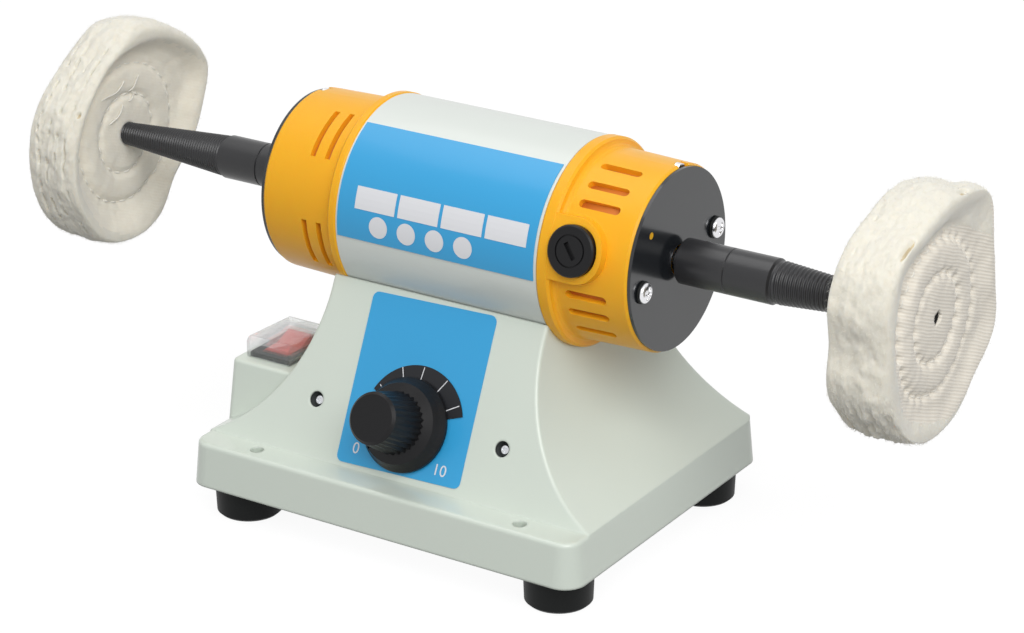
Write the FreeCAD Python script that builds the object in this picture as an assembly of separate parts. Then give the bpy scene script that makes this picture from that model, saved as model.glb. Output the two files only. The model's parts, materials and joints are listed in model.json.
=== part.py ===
import FreeCAD
import Part
import math
import os

# Double-ended bench polishing lathe, in millimetres.
# Origin under the middle of the base at bench level.
# +X runs along the spindle to the right, +Y to the rear and +Z up.

V = FreeCAD.Vector

# Base housing: a plinth on four feet, a flared pedestal and a switch box, cast as one hollow shell
base_length = 200.0
base_width = 160.0
base_corner = 10.0
base_draft = 1.9
base_edge_round = 1.8
foot_height = 16.0
plinth_height = 20.0
casting_wall = 3.5
pedestal_length = 110.0
flare_start_height = 102.0
panel_tilt = 27.1
rear_tilt = 20.9
ridge_round = 1.5
rear_ridge_round = 4.0

# Motor and its place over the base
motor_x = 2.0
motor_y = 9.5
axis_height = 133.5
barrel_radius = 45.2
barrel_wall = 2.0
barrel_length = 101.8
barrel_offset = 0.8
saddle_angle = 35.0
rear_saddle_angle = 30.0
fit_gap = 0.2
run_gap = 0.3

# Moulded end caps
left_cap_length = 42.4
right_cap_length = 40.8
cap_rim_radius = 45.6
cap_rim_width = 6.2
left_rim_width = 4.6
cap_drum_radius = 41.5
cap_end_radius = 40.6
cap_wall = 3.0
cap_blend = 2.4
spigot_length = 5.0
vent_length = 19.4
vent_width = 3.7
vent_start = 11.7
vent_angles = (27.6, 40.4, 56.3)
band_vent_width = 2.7
band_vent_pitch = 7.8
band_vent_start = 12.2
band_vent_spans = ((19.8, 54.2), (-54.0, -20.0))
boss_radius = 14.0
hub_radius = 17.0

# Carbon brushes, on one line through the commutator
brush_place = 68.4
brush_angle = 16.2
brush_width = 6.0
brush_length_x = 8.0
brush_height = 18.0
brush_cap_radius = 11.0
brush_cap_stand = 1.9
brush_cap_slot = (8.0, 2.2)
brush_cap_turn = 38.0
holder_radius = 9.3

# Long bolts that hold the caps, and what the barrel holds
bolt_angle = 98.0
bolt_circle = 37.6
bolt_radius = 1.8
core_left = -24.0
core_right = 22.0
core_bore = 24.6
window_outer = 35.0
window_half = 38.0
coil_reach = 9.0
commutator_radius = 13.0
commutator_length = 16.5
rotor_slots = 12
winding_radius = 21.0
winding_reach = 13.0
winding_taper = 6.0
fan_start = -78.0
fan_radius = 35.0
fan_length = 18.0
fan_blades = 9

# Cover discs
disc_radius = 39.6
disc_thickness = 1.5
disc_screw_radius = 30.3
disc_screw_angle = -9.0
disc_hole_angle = 38.0
disc_hole_circle = 29.0
disc_hole_radius = 1.6

# Shaft, bearings and tapered spindles
shaft_radius = 5.0
shaft_half_length = 128.0
bearing_radius = 13.0
bearing_width = 8.0
bearing_setback = 3.0
spindle_start = 97.0
spindle_radius = 9.9
spindle_shoulder = 141.5
shoulder_radius = 8.8
taper_start = 144.0
spindle_end = 205.0
nose_radius = 4.4
seam_place = 120.0

# Cotton buffs
buff_radius = 52.0
buff_profile = ((0.0, 0.0), (0.1, 0.65), (0.32, 1.0), (0.68, 1.0), (0.9, 0.65), (1.0, 0.0))
buff_width = 26.0
right_buff_start = 189.5
left_buff_start = 194.5
right_buff_dishes = (6.5, 2.2)
left_buff_dishes = (6.5, 5.0)
buff_stitch_radii = (19.0, 33.0)
buff_hole_radius = 2.0

# How far each buff's near lip, rim and far lip stand from its radius.
# One value every 22.5 degrees, from the rear over the top.
right_buff_swells = (
    (-3.0, -3.0, 1.0, -1.0, -3.0, -4.0, 0.0, 1.0, -5.0, -1.0, -3.0, -1.0, -1.0, -1.0, -2.0, 0.0),
    (-1.0, -1.0, 6.0, 2.0, -1.0, -2.5, 1.0, 2.0, -3.5, 0.0, -1.0, 0.0, 1.0, 1.5, 0.0, 5.0),
    (-2.0, -2.0, 5.0, -2.0, -8.0, -8.0, -2.0, -6.0, -10.0, -10.0, -5.0, -2.0, -1.0, -0.5, -2.0, 3.5))
left_buff_swells = (
    (-3.5, 2.0, -2.0, -5.0, -7.5, -9.0, -11.0, -10.5, -8.0, -5.5, -4.0, -2.5, -3.0, -4.0, -10.0, -7.0),
    (-2.5, 5.0, 2.5, 2.0, 1.0, -6.0, -7.5, -5.5, -4.5, -3.0, -1.0, 0.0, -1.0, -2.0, -9.5, -6.5),
    (-5.0, -1.0, -2.0, -3.5, -6.5, -10.0, -10.0, -7.5, -6.0, -4.5, -2.5, -1.0, -3.0, -4.0, -9.0, -7.0))

# Front panel, knob and speed control
label_width = 63.0
label_top = 2.3
label_foot = 2.8
label_turn = 1.6
label_thickness = 0.3
label_lift = 0.1
dial_lift = 0.65
dial_thickness = 0.2
knob_rise = 24.3
knob_skirt_radius = 20.6
knob_height = 29.7
knob_face_radius = 11.4
knob_grip_radius = 13.4
knob_skirt_height = 9.0
knob_lift = 1.2
knob_flutes = 30
knob_flute_depth = 1.1
knob_rest_angle = 140.0
dial_radii = (23.4, 26.6, 27.8)
dial_bore = 8.0
dial_angles = (-60.0, 70.0)
pot_radius = 12.0
pot_depth = 12.0
pot_shaft_radius = 3.0
panel_screw_x = 48.0
panel_screw_rise = 25.1
panel_recess_radius = 3.5
panel_recess_depth = 4.4
board_depth = 19.0
board_size = (108.0, 34.0, 1.6)

# Switch box and rocker switch
box_height = 63.0
box_inset = 0.4
box_front = 45.4
box_length = 48.0
box_draft = 5.0
box_side_draft = 0.04
box_round = 3.0
switch_offset = 0.6
switch_y = -24.0
switch_frame = (21.0, 29.4, 2.2)
switch_body = (15.0, 21.4, 15.0)
rocker_size = (12.6, 18.2)
rocker_pin_rise = 0.9
rocker_tilt = 11.0
boot_wall = 0.9
boot_height = 9.8
boot_rear_height = 8.6

# Feet, screws and bench holes
foot_radius = 15.2
foot_taper = 0.6
foot_inset = 19.2
foot_front_inset = 20.0
bench_hole_inset = 32.0
bench_hole_front_inset = 9.6
bench_hole_radius = 3.0
cover_thickness = 1.5
cover_margin = 2.0
cover_screw_inset = 7.5
screw_radius = 2.0
foot_screw_length = 20.0
foot_recess = 7.0
cover_screw_length = 8.0
saddle_screw_places = (-28.0, 28.0)

# Cord gland on the rear slope
gland_x = 45.0
gland_z = 54.0
gland_radius = 7.0
cord_bore_radius = 3.4

# Places worked out from the sizes above
plinth_top = foot_height + plinth_height
motor_centre = V(motor_x, motor_y, axis_height)
barrel_left = barrel_offset - barrel_length / 2
barrel_right = barrel_offset + barrel_length / 2
left_end = barrel_left - left_cap_length
right_end = barrel_right + right_cap_length
trough_radius = barrel_radius + 2 * fit_gap
saddle_sin = math.sin(math.radians(saddle_angle))
saddle_cos = math.cos(math.radians(saddle_angle))
saddle_z = axis_height - trough_radius * saddle_sin
panel_y = motor_y - trough_radius * saddle_cos
rear_y = motor_y + trough_radius * math.cos(math.radians(rear_saddle_angle))
rear_z = axis_height - trough_radius * math.sin(math.radians(rear_saddle_angle))
cover_top = foot_height + cover_thickness
panel_run = (saddle_z - plinth_top) / math.cos(math.radians(panel_tilt))
label_height = panel_run - label_top - label_foot
knob_drop = panel_run - knob_rise
panel_screw_drop = panel_run - panel_screw_rise
box_left = base_length / 2 - box_inset
flare_reach = flare_start_height - plinth_top
flare_span = base_length / 2 - base_draft - pedestal_length / 2
flare_radius = (flare_span ** 2 + flare_reach ** 2) / (2 * flare_span)
flare_drop = flare_start_height - box_height
flare_at_box = pedestal_length / 2 + flare_radius - math.sqrt(flare_radius ** 2 - flare_drop ** 2)
switch_x = -(box_left + flare_at_box) / 2 - switch_offset
foot_x = base_length / 2 - foot_inset
foot_front = foot_front_inset - base_width / 2
foot_rear = base_width / 2 - foot_inset
bench_hole_x = base_length / 2 - bench_hole_inset
bench_hole_y = bench_hole_front_inset - base_width / 2


def rounded_rectangle(half_x, half_y, radius, z):
    """Closed wire with round corners, centred on the origin."""
    diagonal = radius * (1 - math.sqrt(0.5))
    edges = []
    corners = ((1, 1), (-1, 1), (-1, -1), (1, -1))
    for i, (sx, sy) in enumerate(corners):
        first = V(sx * half_x, sy * (half_y - radius), z)
        last = V(sx * (half_x - radius), sy * half_y, z)
        if sx * sy < 0:
            first, last = last, first
        middle = V(sx * (half_x - diagonal), sy * (half_y - diagonal), z)
        edges.append(Part.Arc(first, middle, last).toShape())
        nx, ny = corners[(i + 1) % 4]
        if sx * sy > 0:
            start = V(nx * (half_x - radius), ny * half_y, z)
        else:
            start = V(nx * half_x, ny * (half_y - radius), z)
        edges.append(Part.makeLine(last, start))
    return Part.Wire(edges)


def block(size_x, size_y, z0, z1, x=0.0, y=0.0):
    """Box centred on x, y between two heights."""
    return Part.makeBox(size_x, size_y, z1 - z0, V(x - size_x / 2, y - size_y / 2, z0))


def post(radius, z0, z1, x=0.0, y=0.0):
    """Upright cylinder."""
    return Part.makeCylinder(radius, z1 - z0, V(x, y, z0))


def tube(outer, inner, z0, z1, x=0.0, y=0.0):
    return post(outer, z0, z1, x, y).cut(post(inner, z0, z1, x, y))


def turned(points):
    """Solid turned about the motor axis from (x, radius) points counted from the motor's centre."""
    corners = [V(motor_x + x, motor_y, axis_height + r) for x, r in points]
    face = Part.Face(Part.makePolygon(corners + corners[:1]))
    return face.revolve(motor_centre, V(1, 0, 0), 360)


def rod(x0, x1, radius):
    """Cylinder on the motor axis."""
    return Part.makeCylinder(radius, x1 - x0, motor_centre + V(x0, 0, 0), V(1, 0, 0))


def ring(x0, x1, outer, inner):
    return rod(x0, x1, outer).cut(rod(x0, x1, inner))


def sector(x0, x1, inner, outer, a0, a1):
    """Part of a ring about the motor axis, between angles counted up from the front."""
    c, s = math.cos(math.radians(a0)), math.sin(math.radians(a0))
    corners = []
    for x, r in ((x0, inner), (x1, inner), (x1, outer), (x0, outer)):
        corners.append(motor_centre + V(x, -r * c, r * s))
    face = Part.Face(Part.makePolygon(corners + corners[:1]))
    return face.revolve(motor_centre, V(-1, 0, 0), a1 - a0)


def radial(shape, x, angle):
    """Stand a shape's own Z axis outward from the motor axis."""
    place = FreeCAD.Placement(motor_centre + V(x, 0, 0), FreeCAD.Rotation(V(1, 0, 0), 90 - angle))
    shape.Placement = place.multiply(shape.Placement)
    return shape


def on_panel(shape, x, drop):
    """Stand a shape on the front panel, its Z axis outward and its Y axis up the slope."""
    slope = math.radians(panel_tilt)
    spot = V(x, panel_y - drop * math.sin(slope), saddle_z - drop * math.cos(slope))
    place = FreeCAD.Placement(spot, FreeCAD.Rotation(V(1, 0, 0), 90 - panel_tilt))
    shape.Placement = place.multiply(shape.Placement)
    return shape


def mirrored(shape):
    """The same piece on the far side of the motor axis, turned half a turn about it."""
    other = shape.copy()
    other.rotate(motor_centre, V(1, 0, 0), 180)
    return other


def stadium(length, width, z0, z1):
    """Slot with round ends along X."""
    straight = length - width
    bar = block(straight, width, z0, z1)
    return bar.fuse([post(width / 2, z0, z1, -straight / 2), post(width / 2, z0, z1, straight / 2)])


def fused(shapes):
    return shapes[0].fuse(shapes[1:]).removeSplitter()


def pan_screw(head_radius, head_height, shank_radius, shank_length):
    """Pan head screw standing on Z = 0 with its shank below and a cross recess."""
    side = head_height * 0.55
    head = post(head_radius, 0, side)
    head = head.fuse(Part.makeCone(head_radius, head_radius * 0.62, head_height - side, V(0, 0, side)))
    head = head.fuse(post(shank_radius, -shank_length, 0.2))
    cross = block(head_radius * 1.1, head_radius * 0.3, head_height * 0.55, head_height)
    cross = cross.fuse(block(head_radius * 0.3, head_radius * 1.1, head_height * 0.55, head_height))
    return head.cut(cross)


def save(name, shape):
    if not shape.isValid():
        print("not valid:", name)
    shape.exportStep("parts/" + name + ".step")
    print(name, len(shape.Solids), round(shape.Volume, 1))


def pedestal(shrink):
    """Body under the motor, with flared ends and a sloped front and rear."""
    half = pedestal_length / 2 - shrink
    radius = flare_radius + shrink
    low = plinth_top - casting_wall - 1
    foot = half + radius - math.sqrt(radius ** 2 - flare_reach ** 2)
    mid_angle = math.asin(flare_reach / radius) / 2
    mid = V(half + radius * (1 - math.cos(mid_angle)), 0, flare_start_height - radius * math.sin(mid_angle))
    outline = [Part.makeLine(V(-foot, 0, low), V(foot, 0, low))]
    outline.append(Part.makeLine(V(foot, 0, low), V(foot, 0, plinth_top)))
    outline.append(Part.Arc(V(foot, 0, plinth_top), mid, V(half, 0, flare_start_height)).toShape())
    outline.append(Part.makeLine(V(half, 0, flare_start_height), V(half, 0, axis_height)))
    outline.append(Part.makeLine(V(half, 0, axis_height), V(-half, 0, axis_height)))
    outline.append(Part.makeLine(V(-half, 0, axis_height), V(-half, 0, flare_start_height)))
    left_mid = V(-mid.x, 0, mid.z)
    outline.append(Part.Arc(V(-half, 0, flare_start_height), left_mid, V(-foot, 0, plinth_top)).toShape())
    outline.append(Part.makeLine(V(-foot, 0, plinth_top), V(-foot, 0, low)))
    front_view = Part.Face(Part.Wire(outline))
    front_view.translate(V(0, -base_width, 0))
    ends = front_view.extrude(V(0, 2 * base_width, 0))

    front_slope = math.radians(panel_tilt)
    rear_slope = math.radians(rear_tilt)
    corners = []
    for z in (low, axis_height):
        front = panel_y + shrink / math.cos(front_slope) + (z - saddle_z) * math.tan(front_slope)
        rear = rear_y - shrink / math.cos(rear_slope) - (z - rear_z) * math.tan(rear_slope)
        corners.append(V(-base_length, front, z))
        corners.append(V(-base_length, rear, z))
    side_view = Part.Face(Part.makePolygon([corners[0], corners[1], corners[3], corners[2], corners[0]]))
    body = ends.common(side_view.extrude(V(2 * base_length, 0, 0)))
    inset = base_draft + shrink
    limit = rounded_rectangle(base_length / 2 - inset, base_width / 2 - inset, base_corner - inset, 0)
    return body.common(Part.Face(limit).extrude(V(0, 0, 2 * axis_height)))


def ridge_edges(shape):
    """The curved edges between the sloped faces and the flared ends, front ones and rear ones."""
    front, rear = [], []
    for edge in shape.Edges:
        box = edge.BoundBox
        if box.ZLength > pedestal_length / 4 and box.YLength > pedestal_length / 10:
            (front if box.YMax < motor_y else rear).append(edge)
    return front, rear


def plinth():
    low = rounded_rectangle(base_length / 2, base_width / 2, base_corner, foot_height)
    top_corner = base_corner - base_draft
    half_x = base_length / 2 - base_draft
    top = rounded_rectangle(half_x, base_width / 2 - base_draft, top_corner, plinth_top)
    body = Part.makeLoft([low, top], True, True)
    upper = [e for e in body.Edges if e.BoundBox.ZMin > plinth_top - 0.01]
    return body.makeFillet(base_edge_round, upper)


def switch_box(shrink):
    """Raised box at the left that carries the switch."""
    low = plinth_top - casting_wall - 1 if shrink else foot_height
    steep = box_draft * (box_height - low) / (box_height - plinth_top)
    wires = []
    for z, grow in ((low, steep), (box_height - shrink, 0.0)):
        half_y = box_length / 2 + grow - shrink
        left = -box_left - grow * box_side_draft + shrink
        right = -pedestal_length / 2 - 4
        wire = rounded_rectangle((right - left) / 2, half_y, max(box_round - shrink, 0.8), z)
        wire.translate(V((left + right) / 2, -box_front + box_length / 2, 0))
        wires.append(wire)
    body = Part.makeLoft(wires, True, True)
    if shrink == 0:
        upper = [e for e in body.Edges if e.BoundBox.ZMin > box_height - 0.01]
        body = body.makeFillet(1.5, upper)
    return body


def foot_places():
    return [(sx * foot_x, y) for y in (foot_front, foot_rear) for sx in (-1, 1)]


def cover_screw_places():
    x = base_length / 2 - cover_screw_inset
    y = base_width / 2 - cover_screw_inset
    return [(0, -y), (0, y), (-x, 0), (x, 0)]


def rear_gland(shape):
    """Stand a shape's Z axis outward on the rear slope."""
    slope = math.radians(rear_tilt)
    y = rear_y + (rear_z - gland_z) * math.tan(slope)
    place = FreeCAD.Placement(V(gland_x, y, gland_z), FreeCAD.Rotation(V(1, 0, 0), rear_tilt - 90))
    shape.Placement = place.multiply(shape.Placement)
    return shape


def base_housing():
    stand = pedestal(0.0)
    stand = stand.makeFillet(ridge_round, ridge_edges(stand)[0])
    stand = stand.makeFillet(rear_ridge_round, ridge_edges(stand)[1])
    outer = fused([plinth(), stand, switch_box(0.0)])

    room = rounded_rectangle(base_length / 2 - casting_wall, base_width / 2 - casting_wall,
                             base_corner - casting_wall, foot_height - 1)
    ceiling = plinth_top - casting_wall
    room = Part.Face(room).extrude(V(0, 0, ceiling - foot_height + 1))
    stand_room = pedestal(casting_wall).cut(rod(-base_length, base_length, trough_radius + casting_wall))
    inside = fused([room, stand_room, switch_box(casting_wall)])

    posts = [post(6.5, cover_top, axis_height, x, y) for x, y in foot_places()]
    posts += [post(4.5, cover_top, axis_height, x, y) for x, y in cover_screw_places()]
    posts += [post(6.0, cover_top, axis_height, sx * bench_hole_x, bench_hole_y) for sx in (-1, 1)]
    for sx in (-1, 1):
        pillar = post(panel_recess_radius + 1.8, -board_depth, 0)
        posts.append(on_panel(pillar, sx * panel_screw_x, panel_screw_drop))
    inside = inside.cut(Part.makeCompound(posts))
    body = outer.cut(inside)

    ledge = rounded_rectangle(base_length / 2 - cover_margin, base_width / 2 - cover_margin,
                              base_corner - cover_margin, foot_height - 1)
    cuts = [Part.Face(ledge).extrude(V(0, 0, cover_thickness + 1))]
    cuts.append(rod(-base_length, base_length, trough_radius))
    for x, y in foot_places():
        cuts.append(post(screw_radius, foot_height, cover_top + 11, x, y))
    for x, y in cover_screw_places():
        cuts.append(post(1.5, foot_height, cover_top + 9, x, y))
    for sx in (-1, 1):
        bench_hole = post(bench_hole_radius, foot_height - 1, plinth_top + 1, sx * bench_hole_x, bench_hole_y)
        cuts.append(bench_hole)
        recess = post(panel_recess_radius, -panel_recess_depth, 2)
        cuts.append(on_panel(recess, sx * panel_screw_x, panel_screw_drop))
        cuts.append(on_panel(post(1.6, -board_depth - 1, 2), sx * panel_screw_x, panel_screw_drop))
    for x in saddle_screw_places:
        cuts.append(post(2.6, axis_height - 60, axis_height, motor_x + x, motor_y))
    cuts.append(on_panel(post(4.8, -casting_wall - 1, 1), 0, knob_drop))
    width, length, depth = switch_body
    low = box_height - casting_wall - 1
    cuts.append(block(width + 0.4, length + 0.4, low, box_height + 1, switch_x, switch_y))
    cuts.append(rear_gland(post(gland_radius, -casting_wall - 1, 1)))
    return body.cut(Part.makeCompound(cuts))


def bottom_cover():
    half_x = base_length / 2 - cover_margin - fit_gap
    half_y = base_width / 2 - cover_margin - fit_gap
    sheet = Part.Face(rounded_rectangle(half_x, half_y, base_corner - cover_margin, foot_height))
    sheet = sheet.extrude(V(0, 0, cover_thickness))
    cuts = [post(screw_radius + fit_gap, 0, 30, x, y) for x, y in foot_places()]
    cuts += [post(1.7, 0, 30, x, y) for x, y in cover_screw_places()]
    cuts += [post(bench_hole_radius, 0, 30, sx * bench_hole_x, bench_hole_y) for sx in (-1, 1)]
    for i in range(7):
        slot = stadium(40, 4, foot_height - 1, cover_top + 1)
        slot.translate(V(0, (i - 3) * 10, 0))
        cuts.append(slot)
    return sheet.cut(Part.makeCompound(cuts))


def foot(x, y):
    """Rubber foot with a recess for its screw."""
    low = foot_radius - foot_taper
    body = Part.makeCone(low, foot_radius, foot_height, V(x, y, 0))
    lower = [e for e in body.Edges if e.BoundBox.ZMax < 0.01]
    body = body.makeChamfer(1.2, lower)
    body = body.cut(post(5.0, -1, foot_recess, x, y))
    return body.cut(post(screw_radius + fit_gap, 0, foot_height + 1, x, y))


def upward_screw(x, y, z, head_radius, shank_radius, length):
    """Screw driven upward, its head's flat side at z."""
    screw = pan_screw(head_radius, 2.4, shank_radius, length)
    screw.rotate(V(0, 0, 0), V(1, 0, 0), 180)
    screw.translate(V(x, y, z))
    return screw


def motor_barrel():
    body = ring(barrel_left, barrel_right, barrel_radius, barrel_radius - barrel_wall)
    holes = [post(2.5, 0, axis_height, motor_x + x, motor_y) for x in saddle_screw_places]
    return body.cut(Part.makeCompound(holes))


def cap_shell(joint, end, rim_width):
    """Moulded cup from the barrel joint to the closed end, with a bearing hub inside."""
    way = 1 if end > joint else -1
    spigot_radius = barrel_radius - barrel_wall - fit_gap
    steps = 3
    points = [(joint - way * spigot_length, spigot_radius), (joint, spigot_radius)]
    points.append((joint, cap_rim_radius - 0.8))
    points.append((joint + way * 0.8, cap_rim_radius))
    crown = joint + way * rim_width
    points.append((crown - way * 1.0, cap_rim_radius))
    points.append((crown, cap_rim_radius - 1.0))
    for i in range(steps + 1):
        turn = math.pi / 2 * i / steps
        x = crown + way * cap_blend * (1 - math.cos(turn))
        points.append((x, cap_drum_radius + cap_blend * (1 - math.sin(turn))))
    points.append((end - way * 1.0, cap_end_radius))
    points.append((end, cap_end_radius - 0.8))
    points.append((end, shaft_radius + 2.0))
    wall = end - way * bearing_setback
    points.append((wall, shaft_radius + 2.0))
    points.append((wall, bearing_radius))
    mouth = wall - way * (bearing_width + 1.0)
    points.append((mouth, bearing_radius))
    points.append((mouth, hub_radius))
    points.append((end - way * cap_wall, hub_radius))
    points.append((end - way * cap_wall, cap_end_radius - cap_wall))
    inner_start = crown + way * cap_blend
    points.append((inner_start, cap_drum_radius - cap_wall))
    points.append((joint - way * spigot_length, cap_drum_radius - cap_wall))
    return turned(points)


def disc_pins(end, way):
    """Pins moulded on a cap's end wall, which place its disc."""
    low = min(end - way * 1.0, end + way * disc_thickness)
    pins = []
    for angle in (disc_hole_angle, disc_hole_angle + 180):
        pin = rod(low, low + disc_thickness + 1.0, disc_hole_radius - run_gap / 3)
        turn = math.radians(angle)
        pin.translate(V(0, -math.cos(turn) * disc_hole_circle, math.sin(turn) * disc_hole_circle))
        pins.append(pin)
    return pins


def cap_end_holes(end, way):
    """Holes in a cap's end wall: disc screws and the two long motor bolts with their head notches."""
    cuts = []
    inside = end - way * (cap_wall + 2)
    outside = end + way * 1
    low, high = min(inside, outside), max(inside, outside)
    for angle in (disc_screw_angle, disc_screw_angle + 180):
        hole = rod(low, high, 1.3)
        shift = V(0, -math.cos(math.radians(angle)), math.sin(math.radians(angle))) * disc_screw_radius
        hole.translate(shift)
        cuts.append(hole)
    for angle in (bolt_angle, bolt_angle + 180):
        out = V(0, -math.cos(math.radians(angle)), math.sin(math.radians(angle)))
        hole = rod(barrel_left - base_length, barrel_right + base_length, bolt_radius + fit_gap)
        hole.translate(out * bolt_circle)
        cuts.append(hole)
        cuts.append(radial(block(3.6, 8.0, bolt_circle - 3.8, bolt_circle + 10), end - way * 1.8, angle))
    return cuts


def left_end_cap():
    body = fused([cap_shell(barrel_left, left_end, left_rim_width)] + disc_pins(left_end, -1))
    cuts = cap_end_holes(left_end, -1)
    for i in range(2):
        x = barrel_left - band_vent_start - i * band_vent_pitch
        for low, high in band_vent_spans:
            for turn in (0, 180):
                cuts.append(sector(x - band_vent_width / 2, x + band_vent_width / 2, 30, 50,
                                   brush_angle + low + turn, brush_angle + high + turn))
    return body.cut(Part.makeCompound(cuts))


def brush_tower():
    """Pad around a brush cap, joined to the rim, with the bore of the brush holder."""
    run = brush_place - barrel_right
    pad = post(boss_radius, 30, cap_rim_radius + 4)
    pad = pad.fuse(block(run, 2 * boss_radius, 30, cap_rim_radius + 4, -run / 2))
    pad = radial(pad, brush_place, brush_angle)
    reach = rod(barrel_right + 1, right_end - 2, cap_rim_radius - 0.2)
    return pad.common(reach).cut(rod(0, right_end, cap_drum_radius - cap_wall - 3))


def brush_bore():
    bore = post(holder_radius + fit_gap, 20, 50)
    bore = bore.fuse(post(brush_cap_radius + 0.5, cap_rim_radius - 1.6, 60))
    return radial(bore, brush_place, brush_angle)


def right_end_cap():
    body = cap_shell(barrel_right, right_end, cap_rim_width)
    tower = brush_tower()
    body = fused([body, tower, mirrored(tower)] + disc_pins(right_end, 1))
    cuts = cap_end_holes(right_end, 1)
    middle = barrel_right + vent_start + vent_length / 2
    for side in (-1, 1):
        for offset in vent_angles:
            for turn in (0, 180):
                vent = stadium(vent_length, vent_width, 30, 50)
                cuts.append(radial(vent, middle, brush_angle + side * offset + turn))
    bore = brush_bore()
    cuts += [bore, mirrored(bore)]
    return body.cut(Part.makeCompound(cuts))


def cover_disc(end, way):
    """Black disc screwed to a cap's end wall."""
    low = min(end, end + way * disc_thickness)
    plate = rod(low, low + disc_thickness, disc_radius)
    cuts = [rod(low - 1, low + disc_thickness + 1, shaft_radius + 1.5)]
    places = [(a, disc_screw_radius, 1.6) for a in (disc_screw_angle, disc_screw_angle + 180)]
    places += [(a, disc_hole_circle, disc_hole_radius) for a in (disc_hole_angle, disc_hole_angle + 180)]
    for angle, circle, radius in places:
        hole = rod(low - 1, low + disc_thickness + 1, radius)
        turn = math.radians(angle)
        hole.translate(V(0, -math.cos(turn) * circle, math.sin(turn) * circle))
        cuts.append(hole)
    return plate.cut(Part.makeCompound(cuts))


def disc_screws(end, way):
    screws = []
    for angle in (disc_screw_angle, disc_screw_angle + 180):
        screw = pan_screw(3.4, 2.4, 1.3, disc_thickness + cap_wall)
        turn = math.radians(angle)
        shift = V(0, -math.cos(turn), math.sin(turn)) * disc_screw_radius
        spot = motor_centre + V(end + way * disc_thickness, 0, 0) + shift
        screw.Placement = FreeCAD.Placement(spot, FreeCAD.Rotation(V(0, 1, 0), way * 90))
        screws.append(screw)
    return Part.makeCompound(screws)


def motor_bolts():
    """Two long bolts that pull the end caps onto the barrel."""
    bolts = []
    head_at = right_end - 3.6
    tail_at = left_end + 3.6
    for angle in (bolt_angle, bolt_angle + 180):
        turn = math.radians(angle)
        bolt = rod(tail_at, head_at, bolt_radius)
        bolt = bolt.fuse([rod(head_at, head_at + 2.6, 3.2), rod(tail_at - 2.2, tail_at, 3.2)])
        bolt.translate(V(0, -math.cos(turn) * bolt_circle, math.sin(turn) * bolt_circle))
        bolts.append(bolt)
    return Part.makeCompound(bolts)


def field_core():
    """Stack of stator laminations with an upper and a lower pole."""
    body = ring(core_left, core_right, barrel_radius - barrel_wall - fit_gap / 2, core_bore)
    cuts = []
    for turn in (0, 180):
        cuts.append(sector(core_left - 1, core_right + 1, core_bore - 2, window_outer,
                           turn - window_half, turn + window_half))
    for angle in (bolt_angle, bolt_angle + 180):
        turn = math.radians(angle)
        hole = rod(core_left - 1, core_right + 1, bolt_radius + fit_gap)
        hole.translate(V(0, -math.cos(turn) * bolt_circle, math.sin(turn) * bolt_circle))
        cuts.append(hole)
    return body.cut(Part.makeCompound(cuts))


def field_coil(turn):
    """Saddle-shaped winding round one pole."""
    outer, inner = window_outer - 0.6, core_bore + 1.8
    frame = sector(core_left - coil_reach, core_right + coil_reach, inner, outer, turn + 4, turn + 176)
    pole = sector(core_left - 1.0, core_right + 1.0, inner - 5, outer + 5,
                  turn + window_half - 6, turn + 180 - window_half + 6)
    return frame.cut(pole)


def brush_holder():
    """Sleeve in the cap's pad with a square tube that guides the brush to the commutator."""
    sleeve = post(holder_radius, 36, 43.6)
    guide = block(brush_length_x + 2.4, brush_width + 2.4, 17.5, 36.5)
    body = sleeve.fuse(guide)
    body = body.cut(block(brush_length_x + 0.2, brush_width + 0.2, 10, 60))
    body = body.cut(post(6.7, 41.4, 44))
    return radial(body, brush_place, brush_angle)


def carbon_brush():
    start = commutator_radius + run_gap
    return radial(block(brush_length_x, brush_width, start, start + brush_height), brush_place, brush_angle)


def brush_spring():
    start = commutator_radius + run_gap + brush_height
    return radial(tube(2.6, 2.0, start, 41.6), brush_place, brush_angle)


def brush_cap():
    """Slotted screw cap with a stepped face."""
    seat = cap_rim_radius - 1.6
    top = cap_rim_radius + brush_cap_stand
    head = post(brush_cap_radius, seat, top)
    head = head.makeChamfer(0.7, [e for e in head.Edges if e.BoundBox.ZMin > top - 0.01])
    body = head.fuse(post(6.4, 41.6, seat + 0.5))
    body = body.cut(tube(7.0, 6.3, top - 0.7, top + 1))
    slot_length, slot_width = brush_cap_slot
    body = body.cut(block(slot_width, slot_length, top - 1.5, top + 1))
    body.rotate(V(0, 0, 0), V(0, 0, 1), brush_cap_turn)
    return radial(body, brush_place, brush_angle)


def bearing_seat(end, way):
    wall = end - way * bearing_setback
    low = min(wall, wall - way * bearing_width)
    return low, low + bearing_width


def outer_bearing(end, way):
    low, high = bearing_seat(end, way)
    return ring(low, high, bearing_radius, shaft_radius + 2.5)


def inner_bearing(end, way):
    low, high = bearing_seat(end, way)
    return ring(low, high, shaft_radius + 2.2, shaft_radius)


def armature_core():
    """Slotted stack of rotor laminations."""
    body = ring(core_left, core_right, core_bore - 0.6, shaft_radius)
    slots = []
    for i in range(rotor_slots):
        slot = block(core_right - core_left + 2, 2.2, 15, 26)
        slots.append(radial(slot, (core_left + core_right) / 2, i * 360 / rotor_slots))
    return body.cut(Part.makeCompound(slots))


def armature_winding():
    """Wound ends of the rotor on both sides of the stack."""
    parts = []
    inner = shaft_radius + 1.5
    for face, way in ((core_left, -1), (core_right, 1)):
        end = face + way * winding_reach
        middle = face + way * winding_reach / 2
        parts.append(turned([(face, inner), (face, winding_radius), (middle, winding_radius),
                             (end, winding_radius - winding_taper), (end, inner)]))
    return Part.makeCompound(parts)


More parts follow.
